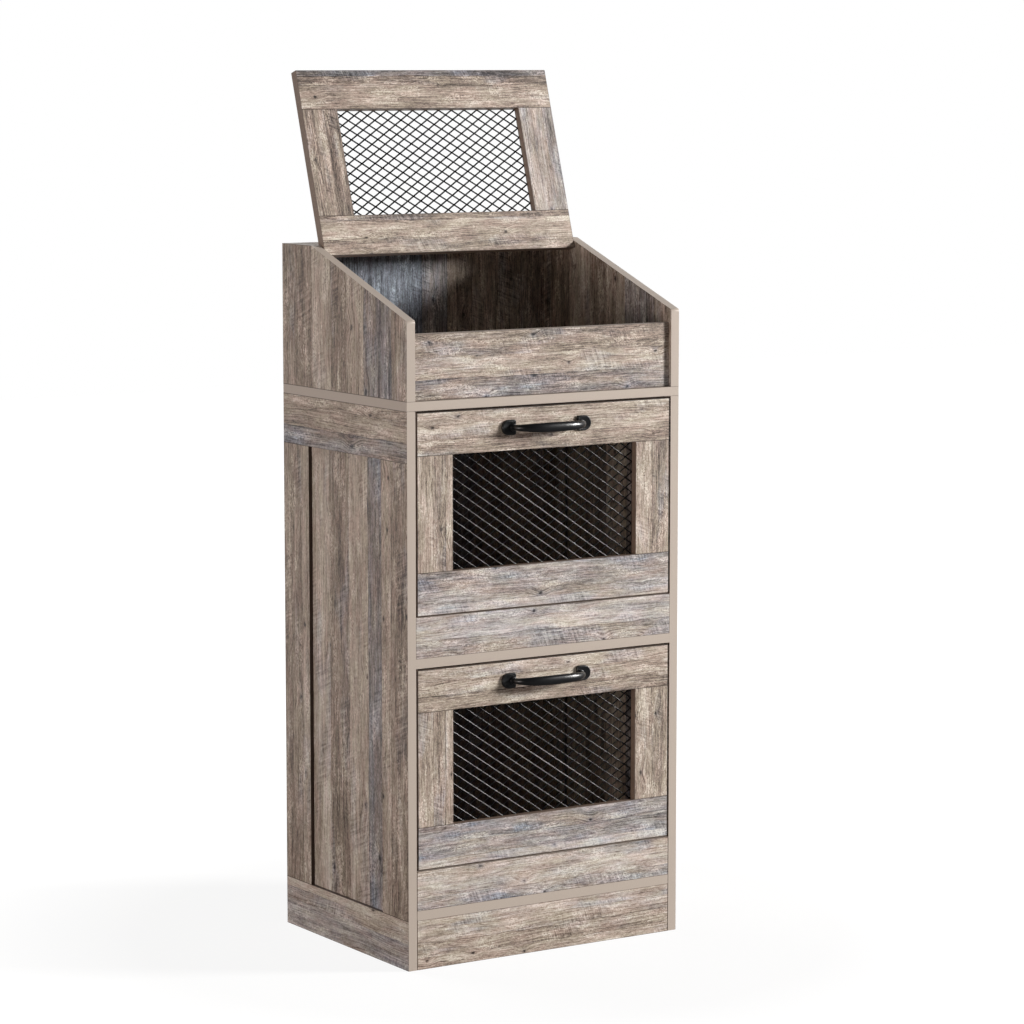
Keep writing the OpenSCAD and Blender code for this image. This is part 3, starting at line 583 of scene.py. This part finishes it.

# gaps mark the sides of each door board where a black line of painted shade stands for the door's gaps
for count, door in enumerate(("lower_door", "upper_door")):
    print_board(door + "_top_rail", *LAID, 21 + count,
                [(0, 0.48, 0.1), (0.36, 0.59, 0.0), (0.7, 0.61, 0.15)], gaps=(START, END, HIGH), **FRAME)
    print_board(door + "_bottom_rail", *LAID, 25 + count,
                [(0, 0.70, 0.6), (0.22, 0.52, 0.65), (0.6, 0.50, 0.65)], gaps=(START, END), **FRAME)
    print_board(door + "_left_stile", *UPRIGHT, 31 + count,
                [(0, 0.56, 0.0), (0.45, 0.46, 0.2), (0.8, 0.56, 0.0)], gaps=(LOW,), **FRAME)
    print_board(door + "_right_stile", *UPRIGHT, 35 + count,
                [(0, 0.54, 0.0), (0.5, 0.44, 0.1), (0.85, 0.52, 0.0)], gaps=(HIGH,), **FRAME)

# %% [markdown]
# ## Boards of the lid
#
# The lid leans back, so the print needs directions that lean with it. The angle could be typed in, but the
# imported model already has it: the front face of a stile looks straight out of the lid. A helper finds that
# face as the largest one of a node that looks both forward and up, and it serves the sides too.

# %% Lid boards
def forward_and_up(node):
    """The direction of the largest face of a node among those that look both forward and up."""
    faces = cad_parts[node].data.polygons
    picked = [face for face in faces if face.normal.y < -0.1 and face.normal.z > 0.1]
    return max(picked, key=lambda face: face.area).normal.copy()


back_lid = -forward_and_up("lid_left_stile")
up_lid = X.cross(back_lid)
print(f"the lid leans back {math.degrees(math.atan2(up_lid.y, up_lid.z)):.2f} degrees")

for node, grain, across, seed, planks in (
        ("lid_front_rail", X, up_lid, 41, [(0, 0.50, 0.1), (0.62, 0.34, 0.2), (0.85, 0.30, 0.6)]),
        ("lid_rear_rail", X, up_lid, 42, [(0, 0.50, 0.1), (0.4, 0.56, 0.0), (0.85, 0.36, 0.1)]),
        ("lid_left_stile", up_lid, X, 43, [(0, 0.40, 0.0), (0.3, 0.48, 0.0), (0.6, 0.34, 0.0)]),
        ("lid_right_stile", up_lid, X, 44, [(0, 0.55, 0.5), (0.7, 0.50, 0.6)])):
    print_board(node, grain, across, back_lid, seed, planks, **FRAME)

# %% [markdown]
# ## Boards of the sides, shelves and backs
#
# Sides have upright planks, and only the two rails of each side run from front to back. Their figure is a
# little coarser than that of the front, as in the picture. The banding is on the front edges, along the
# slope and over the level top. The bare edges round the inset panel are raw board, darkened to nearly black
# as painted shade of the recess. The right side could be a mirror image of the left one, but then both
# would show the same streaks. So a loop dresses them alike, with another seed for each.

# %% Side boards
# The side boards' bare edges take the near-black raw colour, which is painted shade of the recess
SIDE = {"raw": RAW_SIDE_SHADE, "scale": 0.7}
slope_way = forward_and_up("upper_left_side")
print(f"the sides slope {math.degrees(math.atan2(-slope_way.y, slope_way.z)):.2f} degrees")

for side, seed in (("left", 50), ("right", 60)):
    print_board(side + "_front_stile", Z, Y, X, seed + 1, [(0, 0.43, 0.05), (0.64, 0.58, 0.0)], **SIDE)
    print_board(side + "_rear_stile", Z, Y, X, seed + 2,
                [(0, 0.60, 0.2), (0.3, 0.47, 0.1), (0.7, 0.48, 0.0)], bands=(), **SIDE)
    print_board(side + "_top_rail", Y, Z, X, seed + 3,
                [(0, 0.46, 0.55), (0.38, 0.58, 0.1), (0.8, 0.56, 0.0)], **SIDE)
    print_board(side + "_bottom_rail", Y, Z, X, seed + 4,
                [(0, 0.64, 0.6), (0.55, 0.66, 0.4), (0.82, 0.78, 0.2)], **SIDE)
    print_board(side + "_inset_panel", Z, Y, X, seed + 5,
                [(0, 0.43, 0.6), (0.24, 0.65, 0.0), (0.49, 0.43, 0.1), (0.74, 0.71, 0.1)], **SIDE)
    print_board("upper_" + side + "_side", Z, Y, X, seed + 6,
                [(0, 0.51, 0.3), (0.115, 0.42, 0.6), (0.335, 0.57, 0.0), (0.475, 0.42, 0.0),
                 (0.6, 0.62, 0.1), (0.755, 0.43, 0.0), (0.9, 0.48, 0.1)],
                bands=(-Y, Z, slope_way), scale=SIDE["scale"])

# %% Shelves and backs
print_board("bottom_board", X, Y, Z, 71)
print_board("middle_shelf", X, Y, Z, 72)
print_board("top_board", X, Y, Z, 73, bands=(-Y, X, -X), lined=True)
print_board("rear_top_board", X, Y, Z, 74)
# The back panel's planks are dark, partly as painted shade inside the bin; the slate blue left ones carry a
# painted bluish sheen
print_board("upper_back_panel", Z, X, Y, 75,
            [(0, 0.35, 1.5), (0.10, 0.38, 1.5), (0.20, 0.32, 1.4), (0.30, 0.35, 1.4), (0.40, 0.31, 1.3),
             (0.50, 0.40, 0.8), (0.60, 0.43, 0.0), (0.70, 0.50, 0.0), (0.80, 0.44, 0.1), (0.90, 0.40, 0.2)])
print_board("lower_back_panel", Z, X, Y, 76, level=-0.05, bands=(), inside_only=True)

# %% [markdown]
# ### Rounded edges
#
# The banding of a real board is trimmed to a small round, which catches the light as a thin line. A bump
# could fake that line, but not the outline, so the boards that show most get real rounds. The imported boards
# are loose triangles with sharp edges, so three modifiers work in turn: one joins the triangles at their
# corners, one merges the flat ones to whole faces, and one rounds every edge that is sharper than 50
# degrees.

# %% Rounded edges
EDGE_ROUND = 0.0005


def soften(node):
    """Rounds the sharp edges of a packed board."""
    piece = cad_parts[node]
    piece.modifiers.new("weld", "WELD").merge_threshold = 0.00001
    whole = piece.modifiers.new("whole_faces", "DECIMATE")
    whole.decimate_type, whole.angle_limit = "DISSOLVE", math.radians(1)
    edge = piece.modifiers.new("edge", "BEVEL")
    edge.width, edge.segments = EDGE_ROUND, 2
    edge.limit_method, edge.angle_limit = "ANGLE", math.radians(50)


for node in ("top_board", "rear_top_board", "middle_shelf", "bottom_board", "upper_front_panel"):
    soften(node)
for side in ("left", "right"):
    soften("upper_" + side + "_side")
    soften(side + "_front_stile")
print("edges rounded by", 1000 * EDGE_ROUND, "mm")

# %% [markdown]
# ## Finishes of the metal, plastic and hidden wood
#
# One grey would do from afar, but the handles and the wires are what the light catches. So each finish is a
# plain colour with the small unevenness of the real thing: the spangle of zinc, the grain of a beech dowel,
# the orange peel of black paint on wire and the dimples of a cast handle.

# %% Small finishes
def metal(name, dark, pale, rough, grain, depth):
    """Bare metal whose tone and gloss vary in patches about grain millimetres wide."""
    material, shader, start = new_finish(name)
    patch = millimetres(start).clouds(1 / grain, detail=3)
    connect(shader, Base_Color=patch.ramp([(0.3, srgb(*dark)), (0.7, srgb(*pale))]),
            Roughness=patch * 0.25 + rough, Normal=emboss(patch, depth, 0.5), Metallic=1.0)
    return material


def smooth_skin(name, grain, depth, rough, tone, shine=0.5):
    """Paint or plastic, with a skin whose bumps are about grain millimetres wide."""
    material, shader, start = new_finish(name)
    skin = millimetres(start).clouds(1 / grain)
    connect(shader, Base_Color=skin.ramp([(0.3, srgb(*tone)), (0.7, srgb(*(c + 7 for c in tone)))]),
            Roughness=skin * 0.12 + rough, Normal=emboss(skin, depth, 0.6), Specular_IOR_Level=shine)
    return material


def pale_dowel():
    """Beech with short fine pores."""
    material, shader, start = new_finish("beech")
    place = millimetres(start)
    pores = start.noise(place.along(X) * 0.3, place.along(Y) * 1.2, place.along(Z) * 0.3, detail=3)
    connect(shader, Base_Color=(pores + 0.5).ramp([(0.3, srgb(176, 140, 96)), (0.7, srgb(216, 184, 138))]),
            Roughness=pores * 0.2 + 0.6, Normal=emboss(pores, 0.0002, 0.5))
    return material


zinc = metal("zinc_cast", (138, 140, 144), (186, 188, 192), 0.38, 2.5, 0.0001)
steel = metal("bright_steel", (166, 168, 171), (205, 206, 208), 0.22, 1.2, 0.00004)
ferrite = metal("magnet_dark", (62, 63, 66), (96, 97, 100), 0.42, 1.0, 0.00008)
plastic = smooth_skin("catch_plastic_skin", 0.8, 0.00006, 0.42, (74, 82, 98))
wire_paint = smooth_skin("wire_black", 1.5, 0.00001, 0.13, (8, 8, 9), shine=0.11)
cast_paint = smooth_skin("cast_black", 2.2, 0.00018, 0.25, (9, 10, 13))
beech = pale_dowel()
for finish in (zinc, steel, ferrite, plastic, wire_paint, cast_paint, beech):
    print(finish.name, "has", len(finish.node_tree.nodes), "nodes")

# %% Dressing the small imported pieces
dowels = [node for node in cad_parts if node.endswith("dowels")]
for node in dowels:
    dress(node, beech)
for node in ("cam_bolts", "lid_pivot_pins", "lower_door_pivot_pins", "upper_door_pivot_pins",
             "lower_door_strike_plate", "upper_door_strike_plate"):
    dress(node, steel)
dress("cam_locks", zinc)
dress("catch_housings", plastic)
dress("catch_magnets", ferrite)
print("beech on", *dowels)

# %% [markdown]
# ## Modelling by hand, in code
#
# The pieces below could be written as lists of corners, but then nobody could see how they come about. So
# they are made as by hand: each starts from a primitive and is shaped in edit mode. An operator acts on all
# that is selected, so each step starts by picking one object, and in edit mode the faces or edges that it
# needs.

# %% Modelling helpers
def only(*pieces):
    """Selects these objects alone. The first is the active one."""
    bpy.ops.object.select_all(action="DESELECT")
    for piece in pieces:
        piece.select_set(True)
    bpy.context.view_layer.objects.active = pieces[0]


def new_piece(name):
    """Names the primitive just added and opens it in edit mode, with its size and place in its mesh."""
    piece = bpy.context.object
    piece.name = name
    only(piece)
    bpy.ops.object.transform_apply(location=True, rotation=True, scale=True)
    bpy.ops.object.mode_set(mode="EDIT")
    return piece


def choose(test, kind="FACE"):
    """In edit mode, selects the faces whose middle and normal pass the test.

    With kind EDGE, it selects the edges whose middle and direction do.
    """
    bpy.ops.mesh.select_mode(type=kind)
    bpy.ops.mesh.select_all(action="DESELECT")
    mesh = bmesh.from_edit_mesh(bpy.context.edit_object.data)
    if kind == "FACE":
        picked = [face for face in mesh.faces if test(face.calc_center_median(), face.normal)]
    else:
        ends = {edge: [v.co for v in edge.verts] for edge in mesh.edges}
        picked = [edge for edge, (a, b) in ends.items() if test((a + b) / 2, (b - a).normalized())]
    for part in picked:
        part.select_set(True)
    bmesh.update_edit_mesh(bpy.context.edit_object.data)


def close_piece():
    """Leaves edit mode with all faces pointing outwards."""
    bpy.ops.mesh.select_all(action="SELECT")
    bpy.ops.mesh.normals_make_consistent(inside=False)
    bpy.ops.object.mode_set(mode="OBJECT")


def modify(piece, kind, **settings):
    """Adds a modifier and applies it at once."""
    only(piece)
    modifier = piece.modifiers.new(kind.lower(), kind)
    for name, value in settings.items():
        setattr(modifier, name, value)
    bpy.ops.object.modifier_apply(modifier=modifier.name)


def copied(piece, way):
    """A copy of a piece with a mesh of its own, moved by a vector."""
    twin = piece.copy()
    twin.data = piece.data.copy()
    bpy.context.scene.collection.objects.link(twin)
    twin.location = way
    only(twin)
    bpy.ops.object.transform_apply(location=True, rotation=False, scale=False)
    return twin


def joined(name, pieces):
    """Makes one piece of several, with a new name."""
    only(*pieces)
    if len(pieces) > 1:
        bpy.ops.object.join()
    pieces[0].name = pieces[0].data.name = name
    return pieces[0]


def finish_piece(piece, material, place, body, node, smooth=40):
    """Puts a finished piece in its place, with its finish, on its body."""
    only(piece)
    piece.data.transform(place)
    bpy.ops.object.shade_smooth_by_angle(angle=math.radians(smooth))
    piece.data.materials.clear()
    piece.data.materials.append(material)
    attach(piece, body)
    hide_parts(node)
    print(piece.name, "has", len(piece.data.polygons), "faces")


# %% [markdown]
# ## The wire mesh
#
# Each opening holds a panel of welded diamond mesh: one layer of parallel wires slants down to the right, a
# second layer slants down to the left behind it, and they are welded where they cross. A flat rim runs
# round it, hidden in the rebate. A picture of a mesh with holes in it would be flat and catch no light, so
# the wires are real. One wire is made, an Array modifier lays a layer, the second layer is the mirror image
# of the first, and four cuts trim both to the rim. The wires are pressed flat, as in a mesh that is rolled.

# %% Sizes of the mesh
COLUMNS, ROWS = 14, 11
RIM, RIM_EDGE = 0.006, 0.0002
DOOR_WIRE, LID_WIRE = 0.0018, 0.0021
WIRE_DEPTH = 0.00084
MESH_DEPTH = 0.0012
TUCKED = 0.003
WELD_RADII = 0.0016, 0.2 * MESH_DEPTH, 0.0011
print("each opening has", COLUMNS, "by", ROWS, "diamonds, and a mesh is", 1000 * MESH_DEPTH, "mm thick")


def half_diamond(width, height):
    """Half the width and half the height of one diamond in an opening."""
    return width / COLUMNS / 2, height / ROWS / 2


def laid_out(piece, count, step):
    """Repeats a piece count times, each copy a step further."""
    modify(piece, "ARRAY", count=count, use_relative_offset=False, use_constant_offset=True,
           constant_offset_displace=step)


# %% Wires
def wires(width, height, wire):
    """Both layers of wires. wire is the width of one, as seen from the front."""
    half_w, half_h = half_diamond(width, height)
    lines = COLUMNS + ROWS - 1
    slant = math.atan2(half_h, half_w)
    bpy.ops.mesh.primitive_cylinder_add(
        vertices=10, radius=wire / 2, depth=2 * (ROWS + 1) * math.hypot(half_w, half_h),
        rotation=(0, math.pi / 2 + slant, 0), location=(-(lines - 1) * half_w, 0, 0))
    layer = new_piece("wires")
    bpy.ops.mesh.select_all(action="SELECT")
    bpy.ops.transform.resize(value=(1, WIRE_DEPTH / wire, 1), center_override=(0, 0, 0))
    bpy.ops.object.mode_set(mode="OBJECT")
    laid_out(layer, lines, (2 * half_w, 0, 0))
    only(layer)
    bpy.ops.object.mode_set(mode="EDIT")
    bpy.ops.mesh.select_all(action="SELECT")
    apart = (MESH_DEPTH - WIRE_DEPTH) / 2
    bpy.ops.transform.translate(value=(0, -apart, 0))
    bpy.ops.mesh.duplicate()
    bpy.ops.transform.resize(value=(-1, 1, 1), center_override=(0, 0, 0))
    bpy.ops.transform.translate(value=(0, 2 * apart, 0))
    for way, far in ((X, width / 2), (-X, width / 2), (Z, height / 2), (-Z, height / 2)):
        bpy.ops.mesh.select_all(action="SELECT")
        bpy.ops.mesh.bisect(plane_co=way * (far + TUCKED), plane_no=way, use_fill=True, clear_outer=True)
    close_piece()
    return layer


# %% Welds
def welds(width, height):
    """A lump of weld at each crossing: a grid of them on the corners of the diamonds, and one between."""
    half_w, half_h = half_diamond(width, height)
    grids = []
    for inset, across, up in ((0, COLUMNS + 1, ROWS + 1), (1, COLUMNS, ROWS)):
        bpy.ops.mesh.primitive_ico_sphere_add(
            subdivisions=1, radius=1, scale=WELD_RADII,
            location=(-width / 2 + inset * half_w, 0, -height / 2 + inset * half_h))
        grid = new_piece("welds")
        bpy.ops.object.mode_set(mode="OBJECT")
        laid_out(grid, across, (2 * half_w, 0, 0))
        laid_out(grid, up, (0, 0, 2 * half_h))
        grids.append(grid)
    return grids


# %% Rim
def rim(width, height):
    """A flat frame: a plane, an inset whose middle is deleted, thickness, and a small bevel."""
    bpy.ops.mesh.primitive_plane_add(size=1, rotation=(math.pi / 2, 0, 0))
    piece = new_piece("rim")
    bpy.ops.mesh.select_all(action="SELECT")
    bpy.ops.transform.resize(value=(width + 2 * RIM, 1, height + 2 * RIM), center_override=(0, 0, 0))
    bpy.ops.mesh.inset(thickness=RIM)
    bpy.ops.mesh.delete(type="FACE")
    bpy.ops.object.mode_set(mode="OBJECT")
    modify(piece, "SOLIDIFY", thickness=MESH_DEPTH, offset=0.0)
    modify(piece, "BEVEL", width=RIM_EDGE, segments=1, limit_method="ANGLE")
    return piece


# %% [markdown]
# ## Screws
#
# All the screws have a domed head with a cross in it. The head is a cylinder whose outer edge is bevelled.
# The cross could be drawn in a bump, but a screw is looked at closely when a door is open, so two crossed
# bars are cut out of the head. Only the head shows, so the thread is left plain. Each size is modelled once
# and copied.

# %% Screw
ARM_LENGTH, ARM_WIDTH = 1.15, 0.28


def screw(head_r, head_h, shaft_r, shaft_len):
    """A screw whose shaft points along -Y from the origin, with its head on the other side."""
    bpy.ops.mesh.primitive_cylinder_add(vertices=20, radius=head_r, depth=head_h,
                                        rotation=(-math.pi / 2, 0, 0), location=(0, head_h / 2, 0))
    head = new_piece("screw")
    choose(lambda middle, normal: normal.y > 0.9)
    bpy.ops.mesh.bevel(offset=0.6 * head_h, segments=3, affect="EDGES")
    bpy.ops.object.mode_set(mode="OBJECT")
    arms = []
    for across, up in ((ARM_LENGTH, ARM_WIDTH), (ARM_WIDTH, ARM_LENGTH)):
        bpy.ops.mesh.primitive_cube_add(size=1, location=(0, head_h, 0),
                                        scale=(across * head_r, head_h, up * head_r))
        arms.append(new_piece("arm"))
        bpy.ops.object.mode_set(mode="OBJECT")
    for arm in arms:
        modify(head, "BOOLEAN", object=arm, operation="DIFFERENCE", solver="EXACT")
        bpy.data.objects.remove(arm)
    bpy.ops.mesh.primitive_cylinder_add(vertices=12, radius=shaft_r, depth=shaft_len,
                                        rotation=(math.pi / 2, 0, 0), location=(0, -shaft_len / 2, 0))
    shaft = new_piece("shaft")
    choose(lambda middle, normal: normal.y < -0.9)
    bpy.ops.mesh.bevel(offset=0.3 * shaft_r, segments=1, affect="EDGES")
    bpy.ops.object.mode_set(mode="OBJECT")
    return joined("screw", [head, shaft])


def screws(name, pattern, places):
    """Copies of one screw at places given as vectors."""
    copies = [copied(pattern, Vector(place)) for place in places]
    return joined(name, copies)


# %% Sizes of screws
CATCH_HEAD_R = 0.00285

mesh_screw = screw(head_r=0.0024, head_h=0.0014, shaft_r=0.001, shaft_len=0.0072)
handle_screw = screw(head_r=0.0038, head_h=0.0024, shaft_r=0.002, shaft_len=0.018)
catch_screw = screw(head_r=CATCH_HEAD_R, head_h=0.0016, shaft_r=0.0015, shaft_len=0.0104)
print("a screw has", len(mesh_screw.data.polygons), "faces")

# %% [markdown]
# ## Mesh and screws of each frame
#
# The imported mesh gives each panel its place: its middle, and its width and height measured along the
# directions of its own frame. A mesh could be built right where it lies, but the lid's is tilted. So each
# is made upright round the origin, and a matrix of those directions puts it there. The screws sit in the
# rim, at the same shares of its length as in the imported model.

# %% Meshes and their screws
SCREWS_ALONG_RIM = -0.85, 0, 0.85


def fill_frame(part, up, back, wire):
    """Makes the wire mesh of the lid or of a door, and the screws that hold it from behind."""
    node = part + "_mesh"
    ways = X, back, up
    spans = [reach(node, way) for way in ways]
    middle = sum(((low + high) / 2000 * way for (low, high), way in zip(spans, ways)), Vector())
    width, height = [(high - low) / 1000 - 2 * RIM for low, high in (spans[0], spans[2])]
    place = Matrix(ways).transposed().to_4x4()
    place.translation = middle
    lattice = [wires(width, height, wire), *welds(width, height), rim(width, height)]
    panel = joined(part + "_wire_mesh", lattice)
    finish_piece(panel, wire_paint, place, part, node)

    rows = [(x * width / 2, z * (height + RIM) / 2) for x in SCREWS_ALONG_RIM for z in (-1, 1)]
    ends = [(x * (width + RIM) / 2, 0) for x in (-1, 1)]
    fixings = screws(part + "_mesh_fixings", mesh_screw, [(x, MESH_DEPTH / 2, z) for x, z in rows + ends])
    finish_piece(fixings, steel, place, part, node + "_screws")


fill_frame("lid", up_lid, back_lid, LID_WIRE)
fill_frame("lower_door", Z, Y, DOOR_WIRE)
fill_frame("upper_door", Z, Y, DOOR_WIRE)

# %% [markdown]
# ## The handles
#
# A handle is one casting: two D-shaped plates, round on the outside, and a bow that leaves each plate
# through a short collar, turns, and swells towards the middle. A plate is a cube with bevelled corners and
# a sunk face. The bow could be a curve with a round section, but a curve can't swell in height alone. So it
# is a disc that is extruded, moved, turned and stretched from step to step along a squared ellipse.

# %% Sizes of a handle
PLATE_W, PLATE_H, PLATE_T = 0.020, 0.019, 0.0035
PLATE_ROUND, PLATE_CORNER, PLATE_EDGE = 0.495 * PLATE_H, 0.0025, 0.0012
FACE_BORDER, FACE_SUNK = 0.0010, 0.0004
FOOT_X = 0.050
GRIP_T = 0.007
GRIP_END, GRIP_MIDDLE = 0.007, 0.012
GRIP_SWELL = 1.5
COLLAR_R, COLLAR_LENGTH, COLLAR_EDGE = 0.68 * GRIP_END, 0.003, 0.0009
COLLAR_OUT = 0.0006
BOW_POWER = 2 / 2.6
BOW_STEPS = 36
print(f"the bow is {1000 * GRIP_END:.0f} mm high at its ends and {1000 * GRIP_MIDDLE:.0f} in the middle")


# %% End plates
def end_plate(side, outer_x):
    """The plate and the collar at one end. side is -1 or 1, and outer_x is where the handle ends."""
    middle_x = side * (outer_x - PLATE_W / 2)
    bpy.ops.mesh.primitive_cube_add(size=1, location=(middle_x, -PLATE_T / 2, 0),
                                    scale=(PLATE_W, PLATE_T, PLATE_H))
    plate = new_piece("plate")
    choose(lambda middle, way: abs(way.y) > 0.9 and side * (middle.x - middle_x) > 0, "EDGE")
    bpy.ops.mesh.bevel(offset=PLATE_ROUND, segments=10, affect="EDGES")
    choose(lambda middle, way: abs(way.y) > 0.9 and side * (middle.x - middle_x) < -0.45 * PLATE_W, "EDGE")
    bpy.ops.mesh.bevel(offset=PLATE_CORNER, segments=4, affect="EDGES")
    choose(lambda middle, normal: normal.y < -0.9)
    bpy.ops.mesh.bevel(offset=PLATE_EDGE, segments=3, affect="EDGES")
    choose(lambda middle, normal: normal.y < -0.99 and middle.y < -0.99 * PLATE_T)
    bpy.ops.mesh.inset(thickness=FACE_BORDER, depth=-FACE_SUNK)
    close_piece()
    bpy.ops.mesh.primitive_cylinder_add(vertices=24, radius=COLLAR_R, depth=COLLAR_LENGTH,
                                        rotation=(math.pi / 2, 0, 0),
                                        location=(side * FOOT_X, -PLATE_T - COLLAR_OUT, 0))
    collar = new_piece("collar")
    choose(lambda middle, normal: normal.y < -0.9)
    bpy.ops.mesh.bevel(offset=COLLAR_EDGE, segments=3, affect="EDGES")
    close_piece()
    return [plate, collar]


# %% Bow
def bow_point(turn, bow_out):
    """A point on the squared ellipse of the bow's middle line. turn runs from -90 to 90 degrees."""
    side, out = math.sin(turn), math.cos(turn)
    return Vector((FOOT_X * math.copysign(abs(side) ** BOW_POWER, side),
                   -PLATE_T / 2 - (bow_out - PLATE_T / 2) * max(out, 0) ** BOW_POWER, 0))


def bow(bow_out):
    """The bow, whose middle line stands bow_out in front of the rail."""
    turns = [math.pi * (k / BOW_STEPS - 0.5) for k in range(BOW_STEPS + 1)]
    points = [bow_point(turn, bow_out) for turn in turns]
    ahead = [(b - a).normalized() for a, b in zip(points, points[1:])]
    headings = [-Y] + [(a + b).normalized() for a, b in zip(ahead, ahead[1:])] + [Y]
    heights = [GRIP_END + (GRIP_MIDDLE - GRIP_END) * max(math.cos(turn), 0) ** GRIP_SWELL for turn in turns]
    bpy.ops.mesh.primitive_circle_add(vertices=20, radius=GRIP_T / 2, fill_type="NGON",
                                      rotation=(math.pi / 2, 0, 0), location=points[0])
    piece = new_piece("bow")
    choose(lambda middle, normal: True)
    for k in range(BOW_STEPS):
        corner = headings[k].xy.angle_signed(headings[k + 1].xy)
        bpy.ops.mesh.extrude_region_move(TRANSFORM_OT_translate={"value": points[k + 1] - points[k]})
        bpy.ops.transform.rotate(value=corner, orient_axis="Z", center_override=points[k + 1])
        bpy.ops.transform.resize(value=(1, 1, heights[k + 1] / heights[k]), center_override=points[k + 1])
    close_piece()
    return piece


# %% Handles
for part in ("lower_door", "upper_door"):
    low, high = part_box(part + "_handle")
    plates = end_plate(-1, high.x) + end_plate(1, high.x)
    pull = joined(part + "_pull", [bow(high.y - low.y - GRIP_T / 2), *plates])
    place = Matrix.Translation((0, high.y, (low.z + high.z) / 2))
    finish_piece(pull, cast_paint, place, part, part + "_handle", smooth=50)
    behind_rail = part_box(part + "_top_rail")[1].y - high.y
    fixings = screws(part + "_pull_screws", handle_screw,
                     [(side * FOOT_X, behind_rail, 0) for side in (-1, 1)])
    finish_piece(fixings, steel, place, part, part + "_handle_screws")

# %% [markdown]
# ## Screws of the catches
#
# A catch hangs under the middle shelf and another under the top board, each by two screws through its ears.
# They point up, so the screw made above is turned about the width of the cabinet. They could be turned one
# by one, but a turned pattern that is copied is the same thing said once.

# %% Catch screws
EAR_THICKNESS = 0.003

low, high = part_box("catch_screws")
places = [(x, (low.y + high.y) / 2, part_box(shelf)[0].z - EAR_THICKNESS)
          for shelf in ("middle_shelf", "top_board") for x in (low.x + CATCH_HEAD_R, high.x - CATCH_HEAD_R)]
upright = copied(catch_screw, Vector())
upright.data.transform(Matrix.Rotation(-math.pi / 2, 4, "X"))
hung = screws("catch_fixings", upright, places)
finish_piece(hung, steel, Matrix(), "cabinet", "catch_screws")
for pattern in (mesh_screw, handle_screw, catch_screw, upright):
    bpy.data.objects.remove(pattern)
